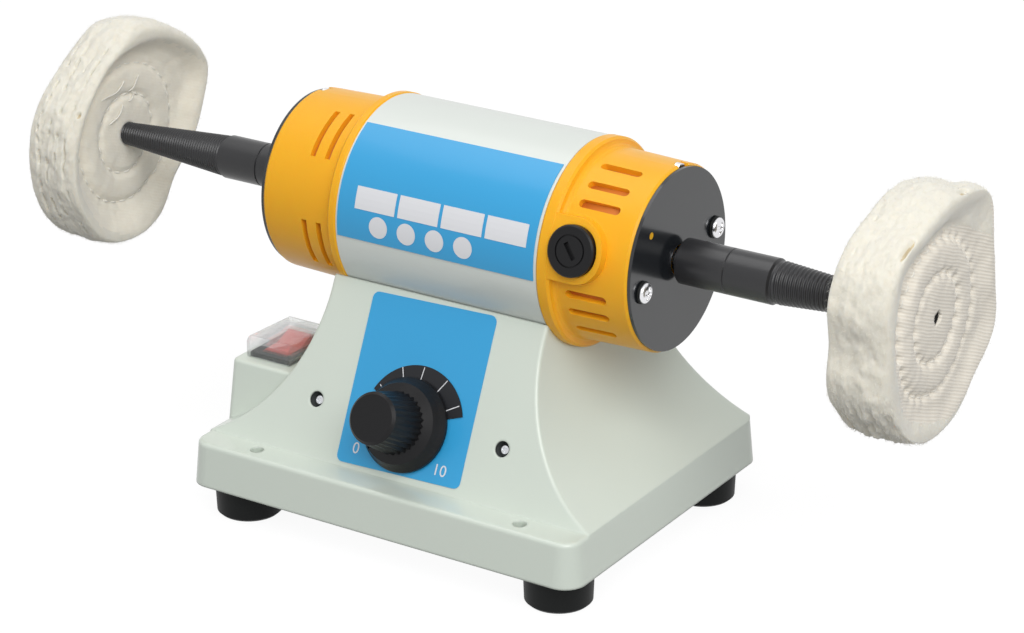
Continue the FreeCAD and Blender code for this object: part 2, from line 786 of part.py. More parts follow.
def commutator():
    low = brush_place - commutator_length / 2
    body = ring(low, low + commutator_length, commutator_radius, shaft_radius)
    return body.fuse(ring(low - 2.5, low, commutator_radius + 1.6, shaft_radius))


def cooling_fan():
    """Radial fan that draws air along the motor."""
    hub = ring(fan_start, fan_start + fan_length, 9.0, shaft_radius)
    plate = ring(fan_start, fan_start + 1.6, fan_radius, shaft_radius)
    blades = []
    for i in range(fan_blades):
        blade = block(14.5, 1.4, 8.5, fan_radius - 1)
        blades.append(radial(blade, fan_start + 7.5, i * 360 / fan_blades + 10))
    return fused([hub, plate] + blades)


def armature_shaft():
    return rod(-shaft_half_length, shaft_half_length, shaft_radius)


def taper_radius(x):
    """Nose radius at a distance from the motor's centre."""
    share = (x - taper_start) / (spindle_end - taper_start)
    return shoulder_radius - 0.1 + (nose_radius - shoulder_radius + 0.1) * share


def spindle(way):
    """Steel adapter on the motor shaft, with a long tapered nose for the buff."""
    points = [(spindle_start, shaft_radius), (spindle_start, spindle_radius - 0.5),
              (spindle_start + 0.5, spindle_radius), (seam_place - 0.4, spindle_radius),
              (seam_place, spindle_radius - 0.4), (seam_place + 0.4, spindle_radius),
              (spindle_shoulder - 0.8, spindle_radius), (spindle_shoulder, shoulder_radius),
              (taper_start, shoulder_radius - 0.1), (spindle_end - 1.2, nose_radius + 0.08),
              (spindle_end, nose_radius - 0.9), (spindle_end, 0), (shaft_half_length + 1, 0),
              (shaft_half_length + 1, shaft_radius)]
    body = turned([(way * x, r) for x, r in points])
    holes = []
    for x in (spindle_start + 7, spindle_start + 15):
        holes.append(radial(post(2.1, 0, 20), way * x, -100))
    return body.cut(Part.makeCompound(holes))


def set_screws():
    screws = []
    for way in (-1, 1):
        for x in (spindle_start + 7, spindle_start + 15):
            screws.append(radial(post(2.1, shaft_radius, spindle_radius - 1.2), way * x, -100))
    return Part.makeCompound(screws)


def buff_outline(x, radii):
    """Closed ring of arcs through evenly spaced radii, counted from the rear over the top to the front."""
    count = len(radii)
    points = []
    for i in range(2 * count):
        turn = math.pi * i / count
        before, here, after, last = [radii[(i // 2 + k) % count] for k in (-1, 0, 1, 2)]
        r = (9 * (here + after) - before - last) / 16 if i % 2 else here
        points.append(motor_centre + V(x, r * math.cos(turn), r * math.sin(turn)))
    arcs = []
    for i in range(0, 2 * count, 2):
        arcs.append(Part.Arc(points[i], points[i + 1], points[(i + 2) % (2 * count)]).toShape())
    return Part.Wire(arcs)


def buff_face(edge, turn, dish):
    """Hollow of one face, drawn in by two rings of stitching; turn is the way into the buff."""
    inner, outer = buff_stitch_radii
    steps = ((-1.0, 0.0), (-1.0, outer + 9), (0.0, outer + 8), (dish * 0.7, outer),
             (dish * 0.5, (inner + outer) / 2), (dish, inner), (dish * 0.88, inner / 2), (dish, 0.0))
    return turned([(edge + turn * depth, radius) for depth, radius in steps])


def buff(start, way, swells, dishes):
    """Stack of cotton sheets, loose and uneven at the rim and drawn in by rings of stitching."""
    near, rim, far = [[buff_radius + swell for swell in row] for row in swells]
    wires = []
    for share, lift in buff_profile:
        side = near if share < 0.5 else far
        radii = [low + (high - low) * lift for low, high in zip(side, rim)]
        wires.append(buff_outline(way * (start + buff_width * share), radii))
    body = Part.makeLoft(wires, True, True)
    near_dish, far_dish = dishes
    cuts = [buff_face(way * start, way, near_dish), buff_face(way * (start + buff_width), -way, far_dish)]
    outside = start + buff_width + 2
    bore = turned([(way * (start - 2), 0), (way * (start - 2), taper_radius(start - 2) + fit_gap),
                   (way * (spindle_end + 1), taper_radius(spindle_end) + fit_gap),
                   (way * (spindle_end + 1), buff_hole_radius),
                   (way * outside, buff_hole_radius), (way * outside, 0)])
    return body.cut(Part.makeCompound(cuts + [bore]))


def barrel_label():
    """Printed plate that follows the barrel."""
    inner = barrel_radius + label_lift
    return sector(barrel_left + 1.0, barrel_right - 1.2, inner, inner + label_thickness, -5.0, 62.0)


def panel_label():
    outline = rounded_rectangle(label_width / 2, label_height / 2, 3.0, 0)
    sheet = Part.Face(outline).extrude(V(0, 0, label_thickness))
    sheet.rotate(V(0, 0, 0), V(0, 0, 1), label_turn)
    sheet.translate(V(0, knob_drop - label_top - label_height / 2, label_lift))
    sheet = sheet.cut(post(5.0, -1, 1))
    return on_panel(sheet, 0, knob_drop)


def dial_scale():
    """Dark fan printed behind the knob, wider towards its fast end."""
    low, high = dial_angles
    turns = [math.radians(90 - angle) for angle in (low, (low + high) / 2, high)]
    a, b, c = [V(r * math.cos(t), r * math.sin(t), 0) for r, t in zip(dial_radii, turns)]
    d, e, f = [V(dial_bore * math.cos(t), dial_bore * math.sin(t), 0) for t in turns]
    wire = [Part.Arc(a, b, c).toShape(), Part.makeLine(c, f)]
    wire += [Part.Arc(f, e, d).toShape(), Part.makeLine(d, a)]
    plate = Part.Face(Part.Wire(wire)).extrude(V(0, 0, dial_thickness))
    plate.translate(V(0, 0, dial_lift))
    return on_panel(plate, 0, knob_drop)


def speed_knob():
    """Domed skirt with a fluted grip that narrows to a plain face, and a pointer line at the slow end."""
    lip = knob_lift + 1.6
    skirt_top = knob_lift + knob_skirt_height
    shoulder = knob_skirt_radius - (knob_skirt_radius - knob_grip_radius) * 0.42
    corners = [V(0, 0, knob_lift), V(knob_skirt_radius, 0, knob_lift), V(knob_skirt_radius, 0, lip),
               V(knob_skirt_radius - 1.6, 0, lip + 2.6), V(shoulder, 0, lip + 5.4),
               V(knob_grip_radius - knob_flute_depth, 0, skirt_top),
               V(knob_face_radius - knob_flute_depth, 0, knob_height - 2.0),
               V(knob_face_radius, 0, knob_height - 1.2), V(knob_face_radius - 1.2, 0, knob_height),
               V(0, 0, knob_height)]
    body = Part.Face(Part.makePolygon(corners + corners[:1])).revolve(V(0, 0, 0), V(0, 0, 1), 360)
    wires = []
    for z, radius, depth in ((lip + 4.0, knob_grip_radius + 0.8, knob_flute_depth),
                             (knob_height - 1.2, knob_face_radius, 0.25)):
        points = []
        for i in range(2 * knob_flutes):
            turn = math.pi * i / knob_flutes
            r = radius if i % 2 else radius - depth
            points.append(V(r * math.cos(turn), r * math.sin(turn), z))
        wires.append(Part.makePolygon(points + points[:1]))
    body = body.fuse(Part.makeLoft(wires, True, True))
    body = body.cut(post(8.5, 0, knob_lift + 4.0))
    body = body.cut(post(pot_shaft_radius, 0, 21.0))
    line = block(0.9, 6.0, lip + 1.6, knob_height, 0, knob_skirt_radius - 2.0)
    line.rotate(V(0, 0, 0), V(0, 0, 1), knob_rest_angle)
    return on_panel(body.cut(line), 0, knob_drop)


def potentiometer():
    top = -casting_wall
    body = post(pot_radius, top - pot_depth, top)
    body = body.fuse(post(4.6, top - 1, 3.2))
    body = body.fuse(block(16, 1.2, top - pot_depth + 3, top - pot_depth + 5, 0, -pot_radius - 3).fuse(
        block(16, 7, top - pot_depth + 3, top - pot_depth + 5, 0, -pot_radius)))
    body = body.cut(post(pot_shaft_radius + 0.1, top - 4, 5))
    return on_panel(body, 0, knob_drop)


def pot_nut():
    points = []
    for i in range(6):
        turn = math.pi * i / 3
        points.append(V(6.4 * math.cos(turn), 6.4 * math.sin(turn), 0))
    nut = Part.Face(Part.makePolygon(points + points[:1])).extrude(V(0, 0, 2.2))
    nut.translate(V(0, 0, dial_lift))
    nut = nut.cut(post(4.6, -1, 6))
    return on_panel(nut, 0, knob_drop)


def pot_shaft():
    return on_panel(post(pot_shaft_radius, -casting_wall - 3.5, 21.0), 0, knob_drop)


def panel_screws():
    screws = []
    for sx in (-1, 1):
        screw = pan_screw(2.9, 1.7, 1.6, board_depth - 1)
        screw.translate(V(0, 0, -panel_recess_depth))
        screws.append(on_panel(screw, sx * panel_screw_x, panel_screw_drop))
    return Part.makeCompound(screws)


def control_board():
    """Speed control board with its choke, capacitor and heat sink, held on the two panel screws."""
    top = -board_depth
    length, width, thickness = board_size
    board = block(length, width, top - thickness, top)
    holes = [post(1.8, top - 3, top + 1, sx * panel_screw_x, 0) for sx in (-1, 1)]
    board = board.cut(Part.makeCompound(holes))
    choke = block(16, 10, top - 13, top - 1.0, -26, 6)
    capacitor = post(8, top - 12, top - 1.0, 26, 4)
    heat_sink = block(26, 3, top - 22, top - 1.0, 0, -10)
    triac = block(10, 4.5, top - 16, top - 1.0, 0, -6.4)
    board = board.fuse([choke, capacitor, heat_sink, triac])
    return on_panel(board, 0, panel_screw_drop)


def switch_base():
    """Switch body with its frame around the rocker."""
    fx, fy, fz = switch_frame
    bx, by, bz = switch_body
    rx, ry = rocker_size
    body = block(fx, fy, 0, fz).fuse(block(bx, by, -bz, 0.5))
    body = body.cut(block(rx + 0.7, ry + 1.7, -7.0, fz + 1))
    pin_seat = Part.makeCylinder(1.3, 40, V(-20, 0, rocker_pin_rise), V(1, 0, 0))
    body = body.cut(pin_seat.common(block(rx + 1.9, 10, -3, 4)))
    legs = [block(4.8, 0.8, -bz - 8, -bz + 1, 0, y) for y in (-6.5, 0, 6.5)]
    body = body.fuse(legs)
    body.translate(V(switch_x, switch_y, box_height))
    return body


def rocker():
    """Rocker pressed down at the front, turned about pins along X."""
    rx, ry = rocker_size
    half = ry / 2
    rise = half * math.tan(math.radians(rocker_tilt))
    corners = [V(-rx / 2, -half, 1.5 + rise), V(-rx / 2, 0, 1.5), V(-rx / 2, half, 1.5 + rise),
               V(-rx / 2, half - 1.2, -3.0), V(-rx / 2, -half + 1.2, -3.0)]
    body = Part.Face(Part.makePolygon(corners + corners[:1])).extrude(V(rx, 0, 0))
    body = body.fuse(Part.makeCylinder(1.2, rx + 1.5, V(-rx / 2 - 0.75, 0, 0), V(1, 0, 0)))
    body.rotate(V(0, 0, 0), V(1, 0, 0), rocker_tilt)
    body.translate(V(switch_x, switch_y, box_height + rocker_pin_rise))
    return body


def switch_boot():
    """Clear soft cover over the rocker."""
    fx, fy, fz = switch_frame
    half_x = fx / 2 + fit_gap + boot_wall
    half_y = fy / 2 + fit_gap + boot_wall
    shells = []
    for shrink in (0.0, boot_wall):
        x, y = half_x - shrink, half_y - shrink
        low = -1.0 if shrink else 0.0
        corners = [V(-x, -y, low), V(-x, -y, boot_height - 2.4 - shrink),
                   V(-x, -y + 2.0, boot_height - shrink), V(-x, y - 0.9, boot_rear_height - shrink),
                   V(-x, y, boot_rear_height - 0.9 - shrink), V(-x, y, low)]
        solid = Part.Face(Part.makePolygon(corners + corners[:1])).extrude(V(2 * x, 0, 0))
        top_long = [e for e in solid.Edges if e.BoundBox.ZMin > boot_rear_height - shrink - 1.0
                    and e.BoundBox.YLength > fy / 2]
        shells.append(solid.makeFillet(1.4 - shrink, top_long))
    body = shells[0].cut(shells[1])
    body.translate(V(switch_x, switch_y, box_height))
    return body


def cord_gland():
    """Rubber bush in the rear slope, where the supply cord enters."""
    body = post(gland_radius, -casting_wall - 0.5, 1.0).fuse(post(gland_radius + 1.8, 0, 2.0))
    body = body.fuse(Part.makeCone(6.4, 5.2, 12.0, V(0, 0, 2.0)))
    body = body.cut(post(cord_bore_radius, -10, 20))
    return rear_gland(body)


def saddle_screws():
    top = axis_height - trough_radius - casting_wall
    screws = []
    for x in saddle_screw_places:
        length = casting_wall + 2 * fit_gap + barrel_wall - 0.3
        screws.append(upward_screw(motor_x + x, motor_y, top, 4.2, 2.5, length))
    return Part.makeCompound(screws)


os.makedirs("parts", exist_ok=True)

save("base_housing", base_housing())
save("bottom_cover", bottom_cover())
corner_names = ("front_left", "front_right", "rear_left", "rear_right")
for corner_name, (fx, fy) in zip(corner_names, foot_places()):
    save("foot_" + corner_name, foot(fx, fy))
save("foot_screws", Part.makeCompound(
    [upward_screw(x, y, foot_recess, 4.0, screw_radius, foot_screw_length) for x, y in foot_places()]))
save("cover_screws", Part.makeCompound(
    [upward_screw(x, y, foot_height, 2.8, 1.5, cover_screw_length) for x, y in cover_screw_places()]))
save("saddle_screws", saddle_screws())
save("motor_barrel", motor_barrel())
save("left_end_cap", left_end_cap())
save("right_end_cap", right_end_cap())
save("left_cover_disc", cover_disc(left_end, -1))
save("right_cover_disc", cover_disc(right_end, 1))
save("left_disc_screws", disc_screws(left_end, -1))
save("right_disc_screws", disc_screws(right_end, 1))
save("motor_bolts", motor_bolts())
save("field_core", field_core())
save("upper_field_coil", field_coil(0))
save("lower_field_coil", field_coil(180))
save("left_bearing", outer_bearing(left_end, -1))
save("right_bearing", outer_bearing(right_end, 1))
save("bearing_inner_rings", Part.makeCompound([inner_bearing(left_end, -1), inner_bearing(right_end, 1)]))
for side_name, place in (("front", lambda s: s), ("rear", mirrored)):
    save(side_name + "_brush_holder", place(brush_holder()))
    save(side_name + "_carbon_brush", place(carbon_brush()))
    save(side_name + "_brush_spring", place(brush_spring()))
    save(side_name + "_brush_cap", place(brush_cap()))
save("armature_shaft", armature_shaft())
save("armature_core", armature_core())
save("armature_winding", armature_winding())
save("commutator", commutator())
save("cooling_fan", cooling_fan())
save("left_spindle", spindle(-1))
save("right_spindle", spindle(1))
save("set_screws", set_screws())
save("left_buff", buff(left_buff_start, -1, left_buff_swells, left_buff_dishes))
save("right_buff", buff(right_buff_start, 1, right_buff_swells, right_buff_dishes))
save("barrel_label", barrel_label())
save("panel_label", panel_label())
save("dial_scale", dial_scale())
save("speed_knob", speed_knob())
save("pot_shaft", pot_shaft())
save("potentiometer", potentiometer())
save("pot_nut", pot_nut())
save("panel_screws", panel_screws())
save("control_board", control_board())
save("switch_base", switch_base())
save("rocker", rocker())
save("switch_boot", switch_boot())
save("cord_gland", cord_gland())
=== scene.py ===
import json
import math
import random

import bpy
from mathutils import Matrix, Quaternion, Vector, noise


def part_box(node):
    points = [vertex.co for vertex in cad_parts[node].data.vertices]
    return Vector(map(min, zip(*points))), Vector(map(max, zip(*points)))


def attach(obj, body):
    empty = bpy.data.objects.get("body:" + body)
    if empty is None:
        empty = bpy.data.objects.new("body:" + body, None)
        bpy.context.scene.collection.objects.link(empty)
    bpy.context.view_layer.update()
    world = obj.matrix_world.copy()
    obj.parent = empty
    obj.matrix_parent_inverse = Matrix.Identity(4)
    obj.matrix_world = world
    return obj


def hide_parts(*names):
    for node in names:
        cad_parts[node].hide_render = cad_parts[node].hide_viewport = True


# Double-ended bench polishing lathe. +X runs along the spindle to the right, +Y to the rear, +Z up.
# Scene units are metres; the dictionaries below are in millimetres and degrees.

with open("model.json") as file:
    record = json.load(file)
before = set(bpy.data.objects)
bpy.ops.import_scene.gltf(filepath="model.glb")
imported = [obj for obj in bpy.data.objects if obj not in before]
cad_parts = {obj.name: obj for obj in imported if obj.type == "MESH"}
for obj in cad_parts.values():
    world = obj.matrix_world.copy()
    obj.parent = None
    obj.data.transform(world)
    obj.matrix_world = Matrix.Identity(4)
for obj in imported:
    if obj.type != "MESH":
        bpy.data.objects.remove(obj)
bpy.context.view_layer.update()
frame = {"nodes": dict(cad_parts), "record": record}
nodes = frame["nodes"]
mm = 0.001

motor = {"x": 2.0, "y": 9.5, "z": 133.5, "barrelRadius": 45.2}


def meshPiece(name, points, faces, material, body, smooth=True):
    mesh = bpy.data.meshes.new(name)
    mesh.from_pydata([tuple(p) for p in points], [], faces)
    mesh.update()
    mesh.materials.append(material)
    for face in mesh.polygons:
        face.use_smooth = smooth
    piece = bpy.data.objects.new(name, mesh)
    bpy.context.scene.collection.objects.link(piece)
    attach(piece, body)
    return piece


def gridFaces(rows, columns, first=0, loop=False):
    # Quads of a grid whose columns close into a ring; loop joins the last row to the first
    faces = []
    for i in range(rows if loop else rows - 1):
        a = first + i * columns
        b = first + (i + 1) % rows * columns
        for j in range(columns):
            k = (j + 1) % columns
            faces.append((a + j, a + k, b + k, b + j))
    return faces


def aboutAxis(x, radius, degrees):
    # Point round the motor axis: 0 degrees is to the rear, 90 is up
    turn = math.radians(degrees)
    rear = radius * math.cos(turn)
    up = radius * math.sin(turn)
    return Vector((motor["x"] + x, motor["y"] + rear, motor["z"] + up)) * mm


def ease(share):
    # Smooth step from 0 to 1
    share = max(0.0, min(1.0, share))
    return share * share * (3 - 2 * share)


def ringAt(values, degrees):
    # Smooth closed curve through evenly spaced values
    count = len(values)
    spot = degrees % 360 / 360 * count
    i = int(spot)
    t = spot - i
    a, b, c, d = (values[(i + k) % count] for k in (-1, 0, 1, 2))
    return b + t * (c - a + t * (2 * a - 5 * b + 4 * c - d + t * (3 * (b - c) + d - a))) / 2


def lumps(x, y, z):
    # Soft noise about zero
    return noise.fractal(Vector((x, y, z)), 1.0, 2.0, 3)


# Materials: fine grain on paints and mouldings, woven cotton on the buffs

finishSockets = {"metallic": "Metallic", "coat": "Coat Weight", "specular": "Specular IOR Level",
                 "sheen": "Sheen Weight", "subsurface": "Subsurface Weight",
                 "transmission": "Transmission Weight", "alpha": "Alpha", "ior": "IOR"}


def newMaterial(name, colour, roughness, **finish):
    material = bpy.data.materials.new(name)
    material.use_nodes = True
    tree = material.node_tree
    shader = tree.nodes["Principled BSDF"]
    shader.inputs["Base Color"].default_value = (*colour, 1.0)
    shader.inputs["Roughness"].default_value = roughness
    for key, value in finish.items():
        shader.inputs[finishSockets[key]].default_value = value
    return material, tree, shader


grainLook = {"fineDetail": 3.0, "wideScale": 28.0, "wideDetail": 4.0, "tint": (0.5, 0.48, 0.45, 1.0),
             "relief": 0.3, "edgeSamples": 8}


def grainGroup():
    # Fine relief and a slow drift of the colour, shared by the paints and mouldings
    group = bpy.data.node_groups.new("grain", "ShaderNodeTree")
    group.interface.new_socket("Color", in_out="INPUT", socket_type="NodeSocketColor")
    for label in ("Scale", "Drift"):
        group.interface.new_socket(label, in_out="INPUT", socket_type="NodeSocketFloat")
    group.interface.new_socket("Color", in_out="OUTPUT", socket_type="NodeSocketColor")
    group.interface.new_socket("Height", in_out="OUTPUT", socket_type="NodeSocketFloat")
    given = group.nodes.new("NodeGroupInput")
    result = group.nodes.new("NodeGroupOutput")
    place = group.nodes.new("ShaderNodeTexCoord")
    fine = group.nodes.new("ShaderNodeTexNoise")
    fine.inputs["Detail"].default_value = grainLook["fineDetail"]
    wide = group.nodes.new("ShaderNodeTexNoise")
    wide.inputs["Scale"].default_value = grainLook["wideScale"]
    wide.inputs["Detail"].default_value = grainLook["wideDetail"]
    share = group.nodes.new("ShaderNodeMath")
    share.operation = "MULTIPLY"
    mix = group.nodes.new("ShaderNodeMix")
    mix.data_type = "RGBA"
    mix.blend_type = "MULTIPLY"
    mix.inputs["B"].default_value = grainLook["tint"]
    links = group.links
    links.new(place.outputs["Object"], fine.inputs["Vector"])
    links.new(place.outputs["Object"], wide.inputs["Vector"])
    links.new(given.outputs["Scale"], fine.inputs["Scale"])
    links.new(wide.outputs["Fac"], share.inputs[0])
    links.new(given.outputs["Drift"], share.inputs[1])
    links.new(share.outputs[0], mix.inputs["Factor"])
    links.new(given.outputs["Color"], mix.inputs["A"])
    links.new(mix.outputs["Result"], result.inputs["Color"])
    links.new(fine.outputs["Fac"], result.inputs["Height"])
    return group


grain = grainGroup()


def grained(name, colour, roughness, scale, depth, drift=0.0, softEdge=0.0, **finish):
    # Scale and depth set the fine grain, drift the wide change of colour, softEdge (mm) rounds edges
    material, tree, shader = newMaterial(name, colour, roughness, **finish)
    node = tree.nodes.new("ShaderNodeGroup")
    node.node_tree = grain
    node.inputs["Color"].default_value = (*colour, 1.0)
    node.inputs["Scale"].default_value = scale
    node.inputs["Drift"].default_value = drift
    bump = tree.nodes.new("ShaderNodeBump")
    bump.inputs["Strength"].default_value = depth
    bump.inputs["Distance"].default_value = grainLook["relief"] * mm
    tree.links.new(node.outputs["Height"], bump.inputs["Height"])
    tree.links.new(bump.outputs["Normal"], shader.inputs["Normal"])
    if drift:
        tree.links.new(node.outputs["Color"], shader.inputs["Base Color"])
    if softEdge:  # thick paint rounds the casting's edges and corners
        bevel = tree.nodes.new("ShaderNodeBevel")
        bevel.samples = grainLook["edgeSamples"]
        bevel.inputs["Radius"].default_value = softEdge * mm
        tree.links.new(bevel.outputs["Normal"], bump.inputs["Normal"])
    return material


amber = {"colour": (0.95, 0.46, 0.018), "share": 0.25, "spread": (1.0, 0.45, 0.08), "reach": 3.0}


def amberMoulding():
    # Light passes a little way into the moulding, so its vents glow inside
    material = grained("amber plastic", amber["colour"], 0.34, 700, 0.03, 0.04, specular=0.25,
                       subsurface=amber["share"])
    shader = material.node_tree.nodes["Principled BSDF"]
    shader.inputs["Subsurface Radius"].default_value = amber["spread"]
    shader.inputs["Subsurface Scale"].default_value = amber["reach"] * mm
    return material


# After the colour: roughness, scale and depth of the grain, and drift where there is one

# Darker amber of the vent linings: painted shade inside the vents
amberPaintedShade = grained("amber painted shade", (0.62, 0.20, 0.03), 0.5, 700, 0.03, specular=0.2)
castingPaint = grained("casting paint", (0.66, 0.725, 0.65), 0.30, 1500, 0.10, 0.05, softEdge=1.6,
                       coat=0.25)
barrelPaint = grained("barrel paint", (0.71, 0.75, 0.71), 0.36, 1300, 0.10, 0.05, coat=0.2)
blackSheet = grained("black sheet", (0.013, 0.015, 0.018), 0.18, 500, 0.01, coat=0.15)
blackSteel = grained("black steel", (0.018, 0.018, 0.020), 0.30, 1600, 0.12)
blackRubber = grained("black rubber", (0.010, 0.011, 0.011), 0.5, 900, 0.08, specular=0.15)
blackPlastic = grained("black plastic", (0.008, 0.008, 0.009), 0.38, 1200, 0.06, specular=0.22)
redPlastic = grained("red plastic", (0.55, 0.045, 0.03), 0.3, 700, 0.03)
bluePrint = grained("blue print", (0.03, 0.36, 0.70), 0.34, 600, 0.02, 0.03, coat=0.1)
blackPrint = grained("black print", (0.011, 0.012, 0.015), 0.4, 600, 0.02, specular=0.3)
whitePrint = grained("white print", (0.76, 0.77, 0.80), 0.35, 600, 0.02)
zincSheet = grained("zinc sheet", (0.55, 0.56, 0.57), 0.35, 400, 0.06, 0.1, metallic=1.0)
screwMetal = grained("screw metal", (0.80, 0.80, 0.82), 0.18, 800, 0.02, metallic=1.0)
# Near-black lining colour: painted shade in the panel's screw recesses
recessPaintedShade = grained("recess painted shade", (0.045, 0.05, 0.05), 0.6, 900, 0.05, specular=0.2)
# Darker screw metal: painted shade on the panel screws deep in their recesses
shadedScrewMetal = grained("screw metal painted shade", (0.62, 0.63, 0.65), 0.16, 800, 0.02, metallic=1.0)
coreSteel = grained("core steel", (0.33, 0.33, 0.35), 0.4, 2500, 0.15, 0.1, metallic=1.0)
bearingSteel = grained("bearing steel", (0.55, 0.55, 0.57), 0.25, 800, 0.02, metallic=1.0)
copper = grained("copper", (0.60, 0.22, 0.08), 0.35, 1800, 0.3, 0.2, metallic=0.8)
carbon = grained("carbon", (0.03, 0.03, 0.03), 0.6, 1500, 0.2)
brass = grained("brass", (0.72, 0.52, 0.2), 0.3, 800, 0.04, metallic=1.0)
boardGreen = grained("board", (0.03, 0.16, 0.06), 0.4, 600, 0.05)
clearCover = grained("clear cover", (0.90, 0.92, 0.92), 0.12, 500, 0.02, transmission=0.85, alpha=0.4,
                     ior=1.3)

slotMaterials = {
    "casting_paint": castingPaint, "barrel_paint": barrelPaint, "amber_plastic": amberMoulding(),
    "black_sheet": blackSheet, "black_steel": blackSteel, "black_rubber": blackRubber,
    "black_plastic": blackPlastic, "red_plastic": redPlastic, "blue_print": bluePrint,
    "black_print": blackPrint, "zinc_sheet": zincSheet, "screw_metal": screwMetal,
    "core_steel": coreSteel, "bearing_steel": bearingSteel, "shaft_steel": bearingSteel,
    "copper": copper, "carbon": carbon, "brass": brass, "spring_steel": bearingSteel,
    "board": boardGreen, "clear_cover": clearCover}

# Each node of the solids takes the material of its slot

for entry in frame["record"]["subparts"]:
    if entry["material_slot"] in slotMaterials:
        materials = nodes[entry["node"]].data.materials
        materials.clear()
        materials.append(slotMaterials[entry["material_slot"]])
# The panel screws take the darker metal as painted shade
nodes["panel_screws"].material_slots[0].material = shadedScrewMetal  # deep in their recesses

weave = {"ribSlant": 21.9, "ribScale": 224.0, "ribWander": 2.4, "ribDetail": 1.0, "ribDetailScale": 0.35,
         "fluffScale": 420.0, "fluffDetail": 6.0, "relief": 0.6, "sheen": 0.35, "sheenRoughness": 0.5,
         "spread": (1.0, 0.92, 0.8), "reach": 2.5}


def weaveGroup():
    # Slanting twill ribs under fine fuzz, shared by all the cottons; Twill is the ribs' share
    group = bpy.data.node_groups.new("cotton weave", "ShaderNodeTree")
    for label in ("Dark", "Light"):
        group.interface.new_socket(label, in_out="INPUT", socket_type="NodeSocketColor")
    group.interface.new_socket("Twill", in_out="INPUT", socket_type="NodeSocketFloat")
    group.interface.new_socket("Color", in_out="OUTPUT", socket_type="NodeSocketColor")
    group.interface.new_socket("Height", in_out="OUTPUT", socket_type="NodeSocketFloat")
    given = group.nodes.new("NodeGroupInput")
    result = group.nodes.new("NodeGroupOutput")
    place = group.nodes.new("ShaderNodeTexCoord")
    slant = group.nodes.new("ShaderNodeMapping")
    slant.inputs["Rotation"].default_value = (math.radians(weave["ribSlant"]), 0.0, 0.0)
    ribs = group.nodes.new("ShaderNodeTexWave")
    ribs.bands_direction = "Z"
    ribs.inputs["Scale"].default_value = weave["ribScale"]
    ribs.inputs["Distortion"].default_value = weave["ribWander"]
    ribs.inputs["Detail"].default_value = weave["ribDetail"]
    ribs.inputs["Detail Scale"].default_value = weave["ribDetailScale"]
    fluff = group.nodes.new("ShaderNodeTexNoise")
    fluff.inputs["Scale"].default_value = weave["fluffScale"]
    fluff.inputs["Detail"].default_value = weave["fluffDetail"]
    height = group.nodes.new("ShaderNodeMix")
    tone = group.nodes.new("ShaderNodeMix")
    tone.data_type = "RGBA"
    links = group.links
    links.new(place.outputs["Object"], slant.inputs["Vector"])
    links.new(slant.outputs["Vector"], ribs.inputs["Vector"])
    links.new(place.outputs["Object"], fluff.inputs["Vector"])
    links.new(given.outputs["Twill"], height.inputs["Factor"])
    links.new(fluff.outputs["Fac"], height.inputs["A"])
    links.new(ribs.outputs["Fac"], height.inputs["B"])
    links.new(height.outputs["Result"], tone.inputs["Factor"])
    links.new(given.outputs["Dark"], tone.inputs["A"])
    links.new(given.outputs["Light"], tone.inputs["B"])
    links.new(tone.outputs["Result"], result.inputs["Color"])
    links.new(height.outputs["Result"], result.inputs["Height"])
    return group


cottonWeave = weaveGroup()


def cottonMaterial(name, dark, light, twill, fuzz, depth=0.0):
    # Unbleached cotton; twill is the ribs' share of the relief, depth how much light passes in
    material, tree, shader = newMaterial(name, light, 0.95, specular=0.1, sheen=weave["sheen"],
                                         subsurface=depth)
    shader.inputs["Sheen Roughness"].default_value = weave["sheenRoughness"]
    shader.inputs["Subsurface Radius"].default_value = weave["spread"]
    shader.inputs["Subsurface Scale"].default_value = weave["reach"] * mm
    node = tree.nodes.new("ShaderNodeGroup")
    node.node_tree = cottonWeave
    node.inputs["Dark"].default_value = (*dark, 1.0)
    node.inputs["Light"].default_value = (*light, 1.0)
    node.inputs["Twill"].default_value = twill
    bump = tree.nodes.new("ShaderNodeBump")
    bump.inputs["Strength"].default_value = fuzz
    bump.inputs["Distance"].default_value = weave["relief"] * mm
    tree.links.new(node.outputs["Height"], bump.inputs["Height"])
    tree.links.new(bump.outputs["Normal"], shader.inputs["Normal"])
    tree.links.new(node.outputs["Color"], shader.inputs["Base Color"])
    return material


# After the two colours: share of twill, strength of the relief, and depth where there is one

cottonTwill = cottonMaterial("cotton twill", (0.80, 0.73, 0.62), (0.95, 0.91, 0.82), 0.5, 0.4)
cottonPlain = cottonMaterial("cotton plain", (0.87, 0.81, 0.69), (0.94, 0.90, 0.79), 0.12, 0.4, 0.4)
# Darker, warmer cotton of the slits between the plies: painted shade
cottonSlitShade = cottonMaterial("cotton slit shade", (0.52, 0.43, 0.28), (0.78, 0.68, 0.48), 0.0, 0.3)
cottonRim = cottonMaterial("cotton rim", (0.78, 0.745, 0.645), (0.85, 0.825, 0.735), 0.0, 0.45, 0.6)
cottonFibre = cottonMaterial("cotton fibre", (0.78, 0.76, 0.68), (0.84, 0.82, 0.74), 0.0, 0.2)
cottonThread = cottonMaterial("cotton thread", (0.80, 0.77, 0.70), (0.88, 0.86, 0.79), 0.0, 0.3)
print("materials done")

# Coarse threads on the tapered noses of the spindle

spindle = {"shoulder": 142.0, "taperStart": 144.0, "end": 205.0, "shoulderRadius": 8.75,
           "noseRadius": 4.4, "threadHeight": 0.6, "leftPitch": 1.4, "rightPitch": 1.9, "columns": 48,
           "rowsPerTurn": 8, "bareEnd": 2.0, "skin": 0.03, "rootShare": 0.15, "crestPower": 1.3,
           "fadeRows": (6, 10)}


def taperAt(x):
    # Radius of the plain nose
    share = max(0.0, (x - spindle["taperStart"]) / (spindle["end"] - spindle["taperStart"]))
    return spindle["shoulderRadius"] + (spindle["noseRadius"] - spindle["shoulderRadius"]) * share


